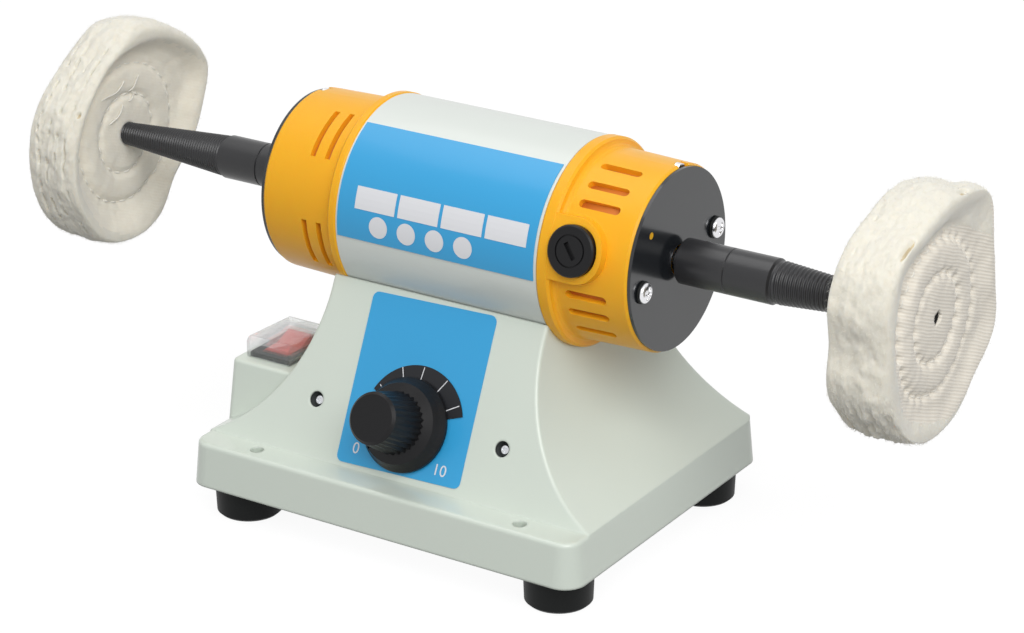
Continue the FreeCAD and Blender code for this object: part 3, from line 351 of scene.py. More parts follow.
def spindleThread(side, way):
    pitch = spindle[side + "Pitch"]
    columns = spindle["columns"]
    start = spindle["shoulder"]
    end = spindle["end"] - spindle["bareEnd"]
    rows = int((end - start) / pitch * spindle["rowsPerTurn"])
    fadeIn, fadeOut = spindle["fadeRows"]
    points = []
    for i in range(rows + 1):
        x = start + (end - start) * i / rows
        fade = min(1.0, i / fadeIn, (rows - i) / fadeOut)
        for j in range(columns):
            phase = x / pitch - way * j / columns
            crest = (0.5 - 0.5 * math.cos(2 * math.pi * phase)) ** spindle["crestPower"]
            height = fade * spindle["threadHeight"] * (crest - spindle["rootShare"])
            radius = taperAt(x) + spindle["skin"] + height
            points.append(aboutAxis(way * x, radius, 360 * j / columns))
    faces = gridFaces(rows + 1, columns)
    if way < 0:
        faces = [face[::-1] for face in faces]
    meshPiece("thread_" + side, points, faces, blackSteel, "spindle")


spindleThread("left", -1)
spindleThread("right", 1)
print("threads done")

# Inner rings that close the end caps' vents behind their slots, in a darker amber that is painted shade

ventLiner = {"radius": 38.4, "wall": 0.6, "left": (-86.0, -55.0), "right": (57.0, 87.0), "columns": 96}


def makeVentLiner(side):
    low, high = ventLiner[side]
    inner = ventLiner["radius"] - ventLiner["wall"]
    outline = ((low, ventLiner["radius"]), (high, ventLiner["radius"]), (high, inner), (low, inner))
    columns = ventLiner["columns"]
    points = [aboutAxis(x, radius, 360 * j / columns) for x, radius in outline for j in range(columns)]
    faces = [face[::-1] for face in gridFaces(len(outline), columns, 0, True)]
    meshPiece("vent_liner_" + side, points, faces, amberPaintedShade, "root")


makeVentLiner("left")
makeVentLiner("right")

# Domed cross-head screws with washers on the black discs

discScrew = {"place": 30.3, "angles": (9.0, 189.0), "radius": 4.5, "height": 2.5, "side": 0.7,
             "domePower": 2.4, "crossTurn": 0.4, "slotHalf": 0.6, "slotReach": 2.7, "slotDepth": 1.1,
             "slotSide": 0.12, "slotEnd": 0.15, "underShare": 0.5, "washerRadius": 4.9,
             "washerHole": 1.0, "washer": 1.0, "washerEdge": 0.2, "skin": 0.02, "rings": 26, "columns": 48}


def screwDome(radius, turn):
    # Height of the domed head, with its cross recess
    d = discScrew
    dome = math.sqrt(max(0.0, 1 - (radius / d["radius"]) ** d["domePower"]))
    height = d["side"] + (d["height"] - d["side"]) * dome
    u, v = abs(radius * math.cos(turn)), abs(radius * math.sin(turn))
    sunk = ease((d["slotHalf"] + d["slotSide"] - min(u, v)) / (2 * d["slotSide"]))
    sunk *= ease((d["slotReach"] + d["slotEnd"] - radius) / (2 * d["slotEnd"]))
    return height - d["slotDepth"] * sunk


def makeDiscScrews(side, way):
    d = discScrew
    low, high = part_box(side + "_cover_disc")
    face = (high[0] if way > 0 else low[0]) / mm - motor["x"]
    for kind, material in (("heads", screwMetal), ("washers", blackRubber)):
        points, faces = [], []
        for angle in d["angles"]:
            centre = aboutAxis(face, d["place"], angle)
            if kind == "heads":  # None takes its height from the dome
                outline = [(d["radius"] * i / d["rings"] + d["skin"], None) for i in range(d["rings"])]
                outline += [(d["radius"], d["side"]), (d["radius"], 0.0),
                            (d["radius"] * d["underShare"], 0.0)]
                base = d["washer"]
            else:
                outline = [(d["washerHole"], d["washer"]),
                           (d["washerRadius"] - d["washerEdge"], d["washer"]),
                           (d["washerRadius"], d["washer"] - d["washerEdge"]),
                           (d["washerRadius"], d["skin"]), (d["washerHole"], d["skin"])]
                base = 0.0
            first = len(points)
            for radius, height in outline:
                for j in range(d["columns"]):
                    turn = 2 * math.pi * j / d["columns"]
                    rise = screwDome(radius, turn + d["crossTurn"]) if height is None else height
                    rise += base
                    spot = Vector((way * rise, radius * math.cos(turn), radius * math.sin(turn)))
                    points.append(centre + spot * mm)
            faces += gridFaces(len(outline), d["columns"], first)
        if way < 0:
            faces = [face[::-1] for face in faces]
        piece = meshPiece(f"disc_screw_{kind}_{side}", points, faces, material, "root")
        if kind == "heads":
            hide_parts(side + "_disc_screws")


makeDiscScrews("left", -1)
makeDiscScrews("right", 1)
print("cap details done")

# Buffs: stacked cotton sheets, drawn in by two rings of stitches, with a soft uneven rim.
# Across is measured along the spindle from a buff's near side, the one that faces the motor.
# A row of values goes evenly round the buff, from the rear over the top, and in a pair of
# values the near face comes first. Sizes of lumps are given as counts round and mm across.

buffMake = {"width": 26.0, "radius": 52.0, "columns": 400, "rimRows": 104, "faceRows": 38,
            "rimRound": 0.6, "reliefRound": 0.7, "warpRadius": 50.0, "stitchRings": (19.0, 33.0),
            "stitchStep": 6.5}

# Swells are how far the near lip, the rim and the far lip stand from the buff's radius.
# Bands are the widths over which the faces dish in, and dishes how deep. Slits are the middle and
# half length in degrees, then across, half width and depth; folds are the middle and half length
# in degrees, and height. A loose thread is the degrees and radius of one end, then of the other.

rightBuff = {
    "seed": 4, "way": 1, "start": 189.5, "dishes": (6.5, 2.2), "face": cottonTwill,
    "bands": ((12.0,), (12.0,)), "warp": (0.0,),
    "tears": 7, "tearFrom": 100.0, "tearTo": 250.0, "tearDepth": 1.4, "lump": 1.4, "plyDepth": 0.12,
    "gather": (0.5, 0.36), "fan": 0.14, "stitchLift": 0.14, "twillFrom": -62.0, "twillTo": 42.0,
    "pockets": ((0.5,), (0.0, 1.2, 2.6, 2.6, 1.4, 0.6, 0.0, 0.0)),
    "fluffFrom": ((45.0,), (60.0, 41.0, 35.5, 36.0, 38.0, 42.0, 46.0, 60.0)),
    "slits": ((128.0, 8.5, 24.4, 0.9, 4.8), (70.0, 4.5, 24.2, 0.9, 4.0)), "looseThreads": (),
    "folds": (228.0, 30.0, 2.2),
    "swells": (
        (-3.0, -3.0, 1.0, -1.0, -3.0, -4.0, 0.0, 1.0, -5.0, -1.0, -3.0, -1.0, -1.0, -1.0, -2.0, 0.0),
        (-1.0, -1.0, 6.0, 2.0, -1.0, -2.5, 1.0, 2.0, -3.5, 0.0, -1.0, 0.0, 1.0, 1.5, 0.0, 5.0),
        (-2.0, -2.0, 5.0, -2.0, -8.0, -8.0, -2.0, -6.0, -10.0, -10.0, -5.0, -2.0, -1.0, -0.5, -2.0, 3.5))}

leftBuff = {
    "seed": 9, "way": -1, "start": 194.5, "dishes": (6.5, 5.0), "face": cottonPlain,
    "bands": ((12.0, 8.0, 7.0, 7.0, 10.0, 14.0, 15.0, 14.0), (12.0,)),
    "warp": (0.5, -3.5, -2.0, -1.0, 0.0, 0.5, 2.0, 5.0),
    "tears": 70, "tearFrom": 108.0, "tearTo": 232.0, "tearDepth": 3.2, "lump": 1.3, "plyDepth": 0.22,
    "gather": (0.07, 0.25), "fan": 0.012, "stitchLift": 0.62, "twillFrom": 0.0, "twillTo": 0.0,
    "pockets": ((0.4, 1.2, 2.2, 2.2, 1.4, 0.6, 0.3, 0.3), (0.5,)),
    "fluffFrom": ((60.0, 46.0, 44.0, 41.0, 40.0, 44.0, 48.0, 60.0), (45.0,)),
    "slits": ((152.0, 2.2, 2.2, 0.8, 3.0), (262.0, 9.0, 2.0, 0.6, 2.0)),
    "looseThreads": ((133.0, 27.6, 93.0, 25.7), (85.0, 20.0, 73.0, 27.8), (152.0, 14.4, 101.0, 14.6),
                     (86.0, 16.2, 63.0, 19.3)),
    "folds": (180.0, 70.0, 0.6),
    "swells": (
        (-3.5, 2.0, -2.0, -5.0, -7.5, -9.0, -11.0, -10.5, -8.0, -5.5, -4.0, -2.5, -3.0, -4.0, -10.0, -7.0),
        (-2.5, 5.0, 2.5, 2.0, 1.0, -6.0, -7.5, -5.5, -4.5, -3.0, -1.0, 0.0, -1.0, -2.0, -9.5, -6.5),
        (-5.0, -1.0, -2.0, -3.5, -6.5, -10.0, -10.0, -7.5, -6.0, -4.5, -2.5, -1.0, -3.0, -4.0, -9.0, -7.0))}


def rimSpot(buff, degrees, share):
    # Across and radius on the rolled rim; share runs from the near lip to the far lip
    near, top, far = (buffMake["radius"] + ringAt(row, degrees) for row in buff["swells"])
    lip = near if share < 0.5 else far
    lift = max(0.0, math.sin(math.pi * share)) ** buffMake["rimRound"]
    return buffMake["width"] * (1 - math.cos(math.pi * share)) / 2, lip + (top - lip) * lift


quilt = {"pinch": 1.4, "grooveWidth": 1.5, "puff": 0.9, "hubPuff": 0.6, "fanReach": 3.5,
         "fanFrom": 10.0, "fanEase": 6.0, "fanWander": 2.5, "fanSize": 9.0, "dimple": 2.0,
         "dimpleWidth": 1.2, "dimplePower": 5, "pocketOut": 4.0, "pocketWidth": 3.2, "lump": 0.9,
         "lumpSize": 17.0, "evenHub": 6.0, "hubEase": 8.0, "lipEase": 4.0}


def faceSpot(buff, side, degrees, radius):
    # Across on a quilted face; side 0 is the near face and 1 the far one
    q = quilt
    turn = math.radians(degrees)
    edge, lip = rimSpot(buff, degrees, side)
    depth = buff["dishes"][side] * ease((lip - radius) / ringAt(buff["bands"][side], degrees))
    inner, outer = buffMake["stitchRings"]
    pocket = math.exp(-((radius - outer - q["pocketOut"]) / q["pocketWidth"]) ** 2)
    depth += ringAt(buff["pockets"][side], degrees) * pocket
    seed = buff["seed"] + side * 5
    for ring in buffMake["stitchRings"]:
        count = round(2 * math.pi * ring / buffMake["stitchStep"])
        gather = 1 + buff["gather"][side] * math.cos(turn * count)
        depth += q["pinch"] * gather * math.exp(-((radius - ring) / q["grooveWidth"]) ** 2)
        fan = math.exp(-abs(radius - ring) / q["fanReach"])  # puckers fan out from the stitches
        fan *= ease((radius - q["fanFrom"]) / q["fanEase"])
        wander = q["fanWander"] * lumps(radius / q["fanSize"], turn * 2, seed)
        depth += buff["fan"] * fan * math.cos(turn * count + wander)
        dimple = math.exp(-((radius - ring) / q["dimpleWidth"]) ** 2)
        dimple *= (0.5 + 0.5 * math.cos(turn * count)) ** q["dimplePower"]
        depth += q["dimple"] * buff["gather"][side] * dimple
    if inner < radius < outer:
        depth -= q["puff"] * math.sin(math.pi * (radius - inner) / (outer - inner))
    elif radius < inner:
        depth -= q["hubPuff"] * math.sin(math.pi * radius / inner)
    level = ease((radius - q["evenHub"]) / q["hubEase"]) * ease((lip - radius) / q["lipEase"])
    flat = radius / q["lumpSize"]
    depth += q["lump"] * level * lumps(math.cos(turn) * flat, math.sin(turn) * flat, seed + 0.6)
    return edge + (depth if side == 0 else -depth)


def warpAt(buff, degrees, radius):
    # How far the whole stack bends across, more towards its edge
    return ringAt(buff["warp"], degrees) * (radius / buffMake["warpRadius"]) ** 2


def buffSpot(buff, across, radius, degrees):
    return aboutAxis(buff["way"] * (buff["start"] + across), radius, degrees)


rimMarks = {"plies": 5, "plyWander": 1.8, "plyRound": 1.8, "plyWidth": 0.9, "tearHalf": (1.2, 3.4),
            "tearOpen": (0.4, 1.0), "tearEase": 1.4, "tearWidth": 0.5, "slitEase": 1.6, "foldEase": 1.5,
            "fold": (4.0, 2.9), "lump": (3.1, 13.0), "bumps": ((0.5, 7.0, 4.5), (0.22, 17.0, 2.2))}


def tearsOf(buff):
    # Open places between the plies, for each ply line: where round the rim, how long, how open
    draw = random.Random(buff["seed"])
    tears = [[] for _ in range(rimMarks["plies"] - 1)]
    for _ in range(buff["tears"]):
        middle = draw.uniform(buff["tearFrom"], buff["tearTo"])
        row = tears[draw.randrange(len(tears))]
        row.append((middle, draw.uniform(*rimMarks["tearHalf"]), draw.uniform(*rimMarks["tearOpen"])))
    return tears


def rimRelief(buff, degrees, across, lines):
    # How far the rim swells or sinks at a place: soft lumps, folds, ply lines, tears and slits
    r = rimMarks
    turn = math.radians(degrees)
    c, s = math.cos(turn), math.sin(turn)
    seed = buff["seed"]
    relief = 0.0
    for height, count, size in ((buff["lump"], *r["lump"]), *r["bumps"]):
        relief += height * lumps(c * count, s * count, across / size + seed)
    middle, half, height = buff["folds"]
    fold = ease(r["foldEase"] * (1 - abs(degrees - middle) / half))
    if fold:
        count, size = r["fold"]
        relief += height * fold * lumps(c * count, s * count, across / size + seed * 3)
    for line, openness in lines:
        away = across - line
        relief -= buff["plyDepth"] * math.exp(-abs(away) / r["plyWidth"])
        relief -= buff["tearDepth"] * openness * math.exp(-(away / r["tearWidth"]) ** 2)
    for middle, half, line, halfWidth, depth in buff["slits"]:
        openness = ease(r["slitEase"] * (1 - abs(degrees - middle) / half))
        relief -= depth * openness * math.exp(-((across - line) / halfWidth) ** 2)
    return relief


def plyLines(buff, tears, degrees):
    # Where the joints between the plies run across, and how far they are torn open
    r = rimMarks
    turn = math.radians(degrees)
    c, s = math.cos(turn) * r["plyRound"], math.sin(turn) * r["plyRound"]
    lines = []
    for k, row in enumerate(tears):
        openness = 0.0
        for middle, half, deep in row:
            away = abs(degrees - middle) / half
            openness = max(openness, deep * ease(r["tearEase"] * (1 - away)))
        wander = r["plyWander"] * lumps(c, s, k * 3.1 + buff["seed"])
        lines.append((buffMake["width"] * (k + 1) / r["plies"] + wander, openness))
    return lines


bore = {"near": 5.1, "far": 2.8, "farWander": 0.35, "farRound": 1.5, "lip": 1.2, "narrow": 3.4,
        "wide": 4.2, "fit": 0.2, "noseGap": 1.2, "noseStep": 0.6}


def buffLoop(buff, tears, degrees):
    # Closed outline of the buff at one angle: near face, rim, far face, bore
    turn = math.radians(degrees)
    c, s = math.cos(turn) * bore["farRound"], math.sin(turn) * bore["farRound"]
    frayed = bore["farWander"] * lumps(c, s, buff["seed"])
    rows = buffMake["faceRows"]
    faces = []
    for side, hole in ((0, bore["near"]), (1, bore["far"] * (1 + frayed))):
        lip = rimSpot(buff, degrees, side)[1]
        radii = [hole + (lip - hole) * i / rows for i in range(rows)]
        faces.append([(faceSpot(buff, side, degrees, radius), radius) for radius in radii])
    lines = plyLines(buff, tears, degrees)
    rows = buffMake["rimRows"]
    rim = []
    for i in range(rows + 1):
        share = i / rows
        across, radius = rimSpot(buff, degrees, share)
        top = math.sin(math.pi * share) ** buffMake["reliefRound"] if 0 < share < 1 else 0.0
        rim.append((across, radius + rimRelief(buff, degrees, across, lines) * top))
    nose = spindle["end"] - buff["start"] + bore["noseGap"]
    hole = [(faces[1][0][0] - bore["lip"], bore["narrow"]), (nose + bore["noseStep"], bore["wide"]),
            (nose, bore["near"] - bore["fit"])]
    loop = faces[0] + rim + faces[1][::-1] + hole
    return [(across + warpAt(buff, degrees, radius), radius) for across, radius in loop]


fuzz = {"count": 5200, "length": (0.6, 2.2), "width": 0.05, "rootShare": 1.2, "droop": 0.4}


def buffFibres(side, buff, grid):
    # Loose ends of cotton standing off the rim, as thin curved ribbons
    draw = random.Random(buff["seed"] + 1)
    points, faces = [], []
    columns = buffMake["columns"]
    low = buffMake["faceRows"]
    high = low + buffMake["rimRows"]
    hub = buffSpot(buff, buffMake["width"] / 2, 0, 0)
    for _ in range(fuzz["count"]):
        i, j = draw.randrange(low, high), draw.randrange(columns)
        root = grid[i][j]
        along = (grid[i][(j + 1) % columns] - root).normalized()
        out = (root - hub).normalized()
        lean = (along * draw.uniform(-1, 1) + Vector((draw.uniform(-1, 1), 0, 0))).normalized()
        length = draw.uniform(*fuzz["length"]) * mm
        flat = along.cross(out).normalized() * fuzz["width"] * mm
        first = len(points)
        for step in (0.0, 0.5, 1.0):
            spot = root + out * length * step * (1 - fuzz["droop"] * step) + lean * length * step * step
            half = flat * (fuzz["rootShare"] - step)
            points += [spot - half, spot + half]
        faces += [(first, first + 1, first + 3, first + 2), (first + 2, first + 3, first + 5, first + 4)]
    meshPiece("fibres_" + side, points, faces, cottonFibre, "spindle")


sewing = {"radius": 0.38, "sides": 6, "endShare": 0.4, "from": 0.18, "share": 0.62, "sink": 0.15,
          "steps": 6}
looseSewing = {"wave": 0.8, "lift": 1.1, "sink": 0.2, "endSink": 0.3, "steps": 12}


def addThread(points, faces, path):
    # Round thread along a path, thinner at its ends
    radius, sides = sewing["radius"] * mm, sewing["sides"]
    first = len(points)
    for i, spot in enumerate(path):
        ahead = (path[min(i + 1, len(path) - 1)] - path[max(i - 1, 0)]).normalized()
        across = ahead.cross(Vector((1, 0, 0))).normalized()
        up = across.cross(ahead)
        size = radius * (sewing["endShare"] if i in (0, len(path) - 1) else 1.0)
        for k in range(sides):
            turn = 2 * math.pi * k / sides
            points.append(spot + (across * math.cos(turn) + up * math.sin(turn)) * size)
    faces += gridFaces(len(path), sides, first)
    end = first + (len(path) - 1) * sides
    faces += [tuple(range(first + sides - 1, first - 1, -1)), tuple(range(end, end + sides))]


def stitches(side, buff, face, label):
    # Two rings of running stitches, half sunk into a face
    steps = sewing["steps"]
    points, faces = [], []
    for ring in buffMake["stitchRings"]:
        count = round(2 * math.pi * ring / buffMake["stitchStep"])
        for k in range(count):
            path = []
            for step in range(steps + 1):
                degrees = (k + sewing["from"] + sewing["share"] * step / steps) * 360 / count
                lift = buff["stitchLift"] * math.sin(math.pi * step / steps) - sewing["sink"]
                across = faceSpot(buff, face, degrees, ring) + (-lift if face == 0 else lift)
                across += warpAt(buff, degrees, ring)
                path.append(buffSpot(buff, across, ring, degrees))
            addThread(points, faces, path)
    meshPiece(f"stitches_{side}_{label}", points, faces, cottonThread, "spindle")


def looseThreads(side, buff):
    # Pulled stitches that lie across the near face, with their ends sunk in it
    loose = looseSewing
    steps = loose["steps"]
    points, faces = [], []
    for fromDegrees, fromRadius, toDegrees, toRadius in buff["looseThreads"]:
        a, b = math.radians(fromDegrees), math.radians(toDegrees)
        path = []
        for step in range(steps + 1):
            share = step / steps
            rear = fromRadius * math.cos(a) * (1 - share) + toRadius * math.cos(b) * share
            up = fromRadius * math.sin(a) * (1 - share) + toRadius * math.sin(b) * share
            up += loose["wave"] * math.sin(2 * math.pi * share + fromDegrees)
            radius, degrees = math.hypot(rear, up), math.degrees(math.atan2(up, rear))
            lift = -loose["endSink"]
            if 0 < step < steps:
                lift = loose["lift"] * math.sin(math.pi * share) ** 0.5 - loose["sink"]
            across = faceSpot(buff, 0, degrees, radius) - lift + warpAt(buff, degrees, radius)
            path.append(buffSpot(buff, across, radius, degrees))
        addThread(points, faces, path)
    meshPiece("loose_threads_" + side, points, faces, cottonThread, "spindle")


patches = {"slitEdge": 0.6, "bareFrom": 0.75, "fluffWander": 1.6, "fluffRound": 7.0}


def finishAt(buff, row, column):
    # 0 on the faces, 1 on the fluffy rim with its uneven edge, 2 in the bore and 3 in the slits; 2 and 3
    # are painted shade
    rows, rimRows = buffMake["faceRows"], buffMake["rimRows"]
    degrees = 360 * column / buffMake["columns"]
    if row > 2 * rows + rimRows:
        return 2
    if rows <= row <= rows + rimRows:
        across = rimSpot(buff, degrees, (row + 0.5 - rows) / rimRows)[0]
        for middle, half, line, halfWidth, _ in buff["slits"]:
            far = ((degrees - middle) / half) ** 2 + ((across - line) / halfWidth) ** 2
            if far < patches["slitEdge"]:
                return 3
        bare = buff["twillFrom"] < (degrees + 180) % 360 - 180 < buff["twillTo"]
        return 0 if bare and row > rows + patches["bareFrom"] * rimRows else 1
    side = 0 if row < rows else 1
    share = row / rows if side == 0 else (2 * rows + rimRows - row) / rows
    turn = math.radians(degrees)
    c, s = math.cos(turn) * patches["fluffRound"], math.sin(turn) * patches["fluffRound"]
    wander = patches["fluffWander"] * lumps(c, s, buff["seed"] + side)
    edge = ringAt(buff["fluffFrom"][side], degrees) + wander
    return 1 if share * rimSpot(buff, degrees, side)[1] > edge else 0


def makeBuff(side, buff):
    columns = buffMake["columns"]
    tears = tearsOf(buff)
    angles = [360 * j / columns for j in range(columns)]
    loops = [buffLoop(buff, tears, degrees) for degrees in angles]
    grid = []
    for i in range(len(loops[0])):
        grid.append([buffSpot(buff, *loop[i], degrees) for loop, degrees in zip(loops, angles)])
    faces = gridFaces(len(grid), columns, 0, True)
    if buff["way"] > 0:
        faces = [face[::-1] for face in faces]
    points = [spot for row in grid for spot in row]
    piece = meshPiece("buff_" + side, points, faces, buff["face"], "spindle")
    # Carbon in the bore and the darker cotton in the slits are painted shade
    for material in (cottonRim, carbon, cottonSlitShade):  # carbon keeps the bore dark
        piece.data.materials.append(material)
    for index, face in enumerate(piece.data.polygons):
        face.material_index = finishAt(buff, index // columns, index % columns)
    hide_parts(side + "_buff")
    buffFibres(side, buff, grid)
    stitches(side, buff, 0, "near")
    stitches(side, buff, 1, "far")
    if buff["looseThreads"]:
        looseThreads(side, buff)


makeBuff("right", rightBuff)
makeBuff("left", leftBuff)
print("buffs done")

# Prints on the two labels: blank fields and dots, plain numbers and lines at the dial.
# Heights on the barrel are in degrees above its front; a drop is measured down the front panel.

barrelPrint = {"lift": 0.52, "count": 4, "fieldStart": -40.3, "fieldStep": 22.1, "fieldWidth": 20.5,
               "fieldLow": 12.4, "fieldHigh": 24.8, "fieldStrips": 6, "dotStart": -27.6, "dotStep": 14.4,
               "dotRadius": 4.7, "dotHeight": 4.4, "dotPoints": 40, "dotTurn": 0.001, "dotStrips": 20}
dial = {"drop": 55.84, "angles": (-51.5, -20.2, 4.5, 32.7, 59.5), "inner": 20.4,
        "outer": (22.6, 25.2, 26.0, 27.1, 27.0), "halfWidth": 0.2, "tickLift": 0.95,
        "numbers": (("dial_low", "0", -21.9, 71.1), ("dial_high", "10", 21.3, 70.9)), "numberSize": 7.0,
        "numberLift": 0.45, "numberDepth": 0.02}
panel = {"tilt": 27.1, "saddleAngle": 35.0, "troughRadius": 45.6}
recess = {"across": 48.0, "drop": 55.04, "radius": 3.4, "rim": -0.5, "floor": -4.3, "holeShare": 0.3,
          "columns": 40}


def barrelSpot(along, degrees):
    # Point just over the barrel's label
    return aboutAxis(along, motor["barrelRadius"] + barrelPrint["lift"], 180 - degrees)


def wrappedShape(name, outline, strips):
    # Flat convex outline of (along, degrees) laid round the barrel in strips
    low = min(v for _, v in outline)
    high = max(v for _, v in outline)
    points, faces = [], []
    for i in range(strips + 1):
        v = low + (high - low) * (0.5 - 0.5 * math.cos(math.pi * i / strips))
        cuts = []
        for (u0, v0), (u1, v1) in zip(outline, outline[1:] + outline[:1]):
            if (v0 - v) * (v1 - v) <= 0 and v0 != v1:
                cuts.append(u0 + (u1 - u0) * (v - v0) / (v1 - v0))
        points += [barrelSpot(min(cuts), v), barrelSpot(max(cuts), v)]
        if i:
            a = len(points) - 4
            faces.append((a, a + 1, a + 3, a + 2))
    meshPiece(name, points, faces, whitePrint, "root", False)


def makeBarrelPrint():
    p = barrelPrint
    for i in range(p["count"]):
        left = p["fieldStart"] + i * p["fieldStep"]
        right = left + p["fieldWidth"]
        bottom, top = p["fieldLow"], p["fieldHigh"]
        box = [(left, bottom), (right, bottom), (right, top), (left, top)]
        wrappedShape(f"label_field_{i}", box, p["fieldStrips"])
        middle = p["dotStart"] + i * p["dotStep"]
        tall = math.degrees(p["dotRadius"] / motor["barrelRadius"])
        dot = []
        for k in range(p["dotPoints"]):
            turn = 2 * math.pi * k / p["dotPoints"] + p["dotTurn"]  # turned a little: no level edge
            dot.append((middle + p["dotRadius"] * math.cos(turn), p["dotHeight"] + tall * math.sin(turn)))
        wrappedShape(f"label_dot_{i}", dot, p["dotStrips"])


def panelWays():
    # The front panel's ways down and out
    tilt = math.radians(panel["tilt"])
    down = Vector((0.0, -math.sin(tilt), -math.cos(tilt)))
    out = Vector((0.0, -math.cos(tilt), math.sin(tilt)))
    return down, out


def panelSpot(across, drop, lift):
    # Point on the front panel, from its top middle
    turn = math.radians(panel["saddleAngle"])
    reach = panel["troughRadius"]
    top = Vector((0.0, motor["y"] - reach * math.cos(turn), motor["z"] - reach * math.sin(turn)))
    down, out = panelWays()
    return (top + Vector((across, 0.0, 0.0)) + down * drop + out * lift) * mm


def panelNumber(name, words, across, drop):
    curve = bpy.data.curves.new(name, "FONT")
    curve.body = words
    curve.size = dial["numberSize"] * mm
    curve.align_x = "CENTER"
    curve.align_y = "CENTER"
    curve.extrude = dial["numberDepth"] * mm
    source = bpy.data.objects.new(name + "_source", curve)
    bpy.context.scene.collection.objects.link(source)
    bpy.context.view_layer.update()
    mesh = bpy.data.meshes.new_from_object(source)
    bpy.data.objects.remove(source)
    down, out = panelWays()
    place = Matrix((Vector((1, 0, 0)), -down, out)).transposed().to_4x4()
    place.translation = panelSpot(across, drop, dial["numberLift"])
    mesh.transform(place)
    mesh.materials.clear()
    mesh.materials.append(whitePrint)
    piece = bpy.data.objects.new(name, mesh)
    bpy.context.scene.collection.objects.link(piece)
    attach(piece, "root")


def dialTicks():
    points, faces = [], []
    for degrees, outer in zip(dial["angles"], dial["outer"]):
        turn = math.radians(degrees)
        along = Vector((math.sin(turn), math.cos(turn)))
        aside = Vector((math.cos(turn), -math.sin(turn))) * dial["halfWidth"]
        first = len(points)
        for reach, way in ((dial["inner"], -1), (outer, -1), (outer, 1), (dial["inner"], 1)):
            spot = along * reach + aside * way
            points.append(panelSpot(spot.x, dial["drop"] - spot.y, dial["tickLift"]))
        faces.append((first, first + 1, first + 2, first + 3))
    meshPiece("dial_ticks", points, faces, whitePrint, "root", False)


def recessShadeLinings():
    # Dark linings of the two screw recesses in the panel, painted shade
    r = recess
    outline = ((r["radius"], r["rim"]), (r["radius"], r["floor"]),
               (r["radius"] * r["holeShare"], r["floor"]))
    points, faces = [], []
    for across in (-r["across"], r["across"]):
        first = len(points)
        for radius, lift in outline:
            for j in range(r["columns"]):
                turn = 2 * math.pi * j / r["columns"]
                drop = r["drop"] - radius * math.sin(turn)
                points.append(panelSpot(across + radius * math.cos(turn), drop, lift))
        faces += gridFaces(len(outline), r["columns"], first)
    meshPiece("recess_shade_linings", points, faces, recessPaintedShade, "root")


recessShadeLinings()
makeBarrelPrint()
for name, words, across, drop in dial["numbers"]:
    panelNumber(name, words, across, drop)
dialTicks()
print("prints done")

# Studio: white surroundings for the camera and for reflections, soft lamps for the object.
# Places and sizes here are in metres.

studio = {"floorHalf": 6.0, "ambient": 0.40, "background": 1.0, "floorColour": 0.30,
          "shadowShare": 0.12, "floorGlow": 0.92, "lampAim": (0.0, 0.0, 0.1)}
lamps = {
    "key": {"place": (1.05, -1.05, 1.45), "size": (1.6, 1.4), "power": 30.0},
    "top": {"place": (-0.6, 0.0, 1.7), "size": (1.4, 0.8), "power": 6.0}}
view = {"azimuth": 32.86, "elevation": 22.61, "roll": -0.0022, "lens": 116.81, "sensor": 36.0,
        "clip": (0.05, 50.0), "place": (0.7387, -1.1142, 0.6460)}


def seenDirectly(tree):
    # 1 for rays from the camera, and for reflected and transmitted ones
    path = tree.nodes.new("ShaderNodeLightPath")
    first = tree.nodes.new("ShaderNodeMath")
    first.operation = "ADD"
    both = tree.nodes.new("ShaderNodeMath")
    both.operation = "ADD"
    both.use_clamp = True
    tree.links.new(path.outputs["Is Camera Ray"], first.inputs[0])
    tree.links.new(path.outputs["Is Glossy Ray"], first.inputs[1])
    tree.links.new(first.outputs[0], both.inputs[0])
    tree.links.new(path.outputs["Is Transmission Ray"], both.inputs[1])
    return both.outputs[0]


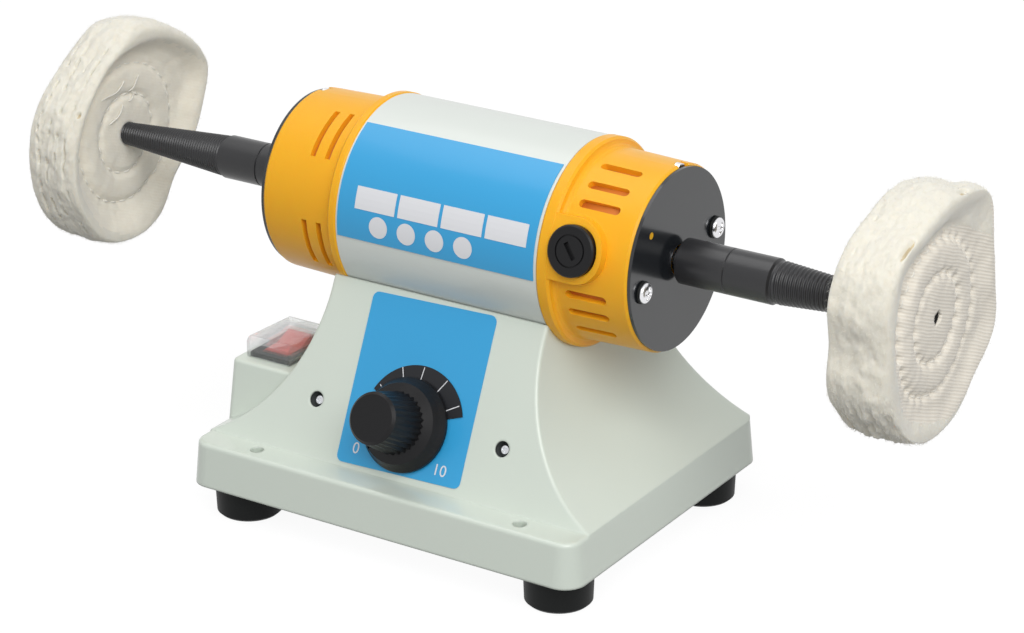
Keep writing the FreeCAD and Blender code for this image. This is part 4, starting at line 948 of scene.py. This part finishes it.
def makeFloor():
    # Grey to the object's light, and white with a faint shadow to the camera and to reflections
    half = studio["floorHalf"]
    corners = [(-half, -half, 0), (half, -half, 0), (half, half, 0), (-half, half, 0)]
    mesh = bpy.data.meshes.new("floor")
    mesh.from_pydata(corners, [], [(0, 1, 2, 3)])
    floor = bpy.data.objects.new("floor", mesh)
    bpy.context.scene.collection.objects.link(floor)
    grey = studio["floorColour"]
    material, tree, shader = newMaterial("floor paint", (grey, grey, grey), 0.9, specular=0.0)
    pale = tree.nodes.new("ShaderNodeBsdfDiffuse")
    pale.inputs["Color"].default_value = (*[studio["shadowShare"]] * 3, 1.0)
    glow = tree.nodes.new("ShaderNodeEmission")
    glow.inputs["Strength"].default_value = studio["floorGlow"]
    both = tree.nodes.new("ShaderNodeAddShader")
    mix = tree.nodes.new("ShaderNodeMixShader")
    tree.links.new(pale.outputs[0], both.inputs[0])
    tree.links.new(glow.outputs[0], both.inputs[1])
    tree.links.new(seenDirectly(tree), mix.inputs[0])
    tree.links.new(shader.outputs[0], mix.inputs[1])
    tree.links.new(both.outputs[0], mix.inputs[2])
    tree.links.new(mix.outputs[0], tree.nodes["Material Output"].inputs["Surface"])
    mesh.materials.append(material)


def makeWorld():
    world = bpy.data.worlds.new("studio")
    world.use_nodes = True
    tree = world.node_tree
    back = tree.nodes["Background"]
    back.inputs["Color"].default_value = (1, 1, 1, 1)
    strength = tree.nodes.new("ShaderNodeMix")
    strength.inputs["A"].default_value = studio["ambient"]
    strength.inputs["B"].default_value = studio["background"]
    tree.links.new(seenDirectly(tree), strength.inputs["Factor"])
    tree.links.new(strength.outputs["Result"], back.inputs["Strength"])
    bpy.context.scene.world = world


def makeLamp(name, lamp):
    light = bpy.data.lights.new(name, "AREA")
    light.shape = "RECTANGLE"
    light.size, light.size_y = lamp["size"]
    light.energy = lamp["power"]
    piece = bpy.data.objects.new(name, light)
    bpy.context.scene.collection.objects.link(piece)
    piece.location = lamp["place"]
    piece.rotation_mode = "QUATERNION"
    ahead = Vector(studio["lampAim"]) - Vector(lamp["place"])
    piece.rotation_quaternion = ahead.to_track_quat("-Z", "Y")


def makeCamera():
    azimuth, elevation = math.radians(view["azimuth"]), math.radians(view["elevation"])
    lens = bpy.data.cameras.new("camera")
    lens.sensor_width = view["sensor"]
    lens.lens = view["lens"]
    lens.clip_start, lens.clip_end = view["clip"]
    camera = bpy.data.objects.new("camera", lens)
    bpy.context.scene.collection.objects.link(camera)
    ahead = Vector((-math.sin(azimuth) * math.cos(elevation), math.cos(azimuth) * math.cos(elevation),
                    -math.sin(elevation)))
    camera.location = view["place"]
    camera.rotation_mode = "QUATERNION"
    camera.rotation_quaternion = ahead.to_track_quat("-Z", "Y") @ Quaternion((0, 0, 1), view["roll"])
    bpy.context.scene.camera = camera


makeFloor()
makeWorld()
for name, lamp in lamps.items():
    makeLamp(name, lamp)
makeCamera()
bpy.context.scene.view_settings.view_transform = "Standard"
print("studio done")
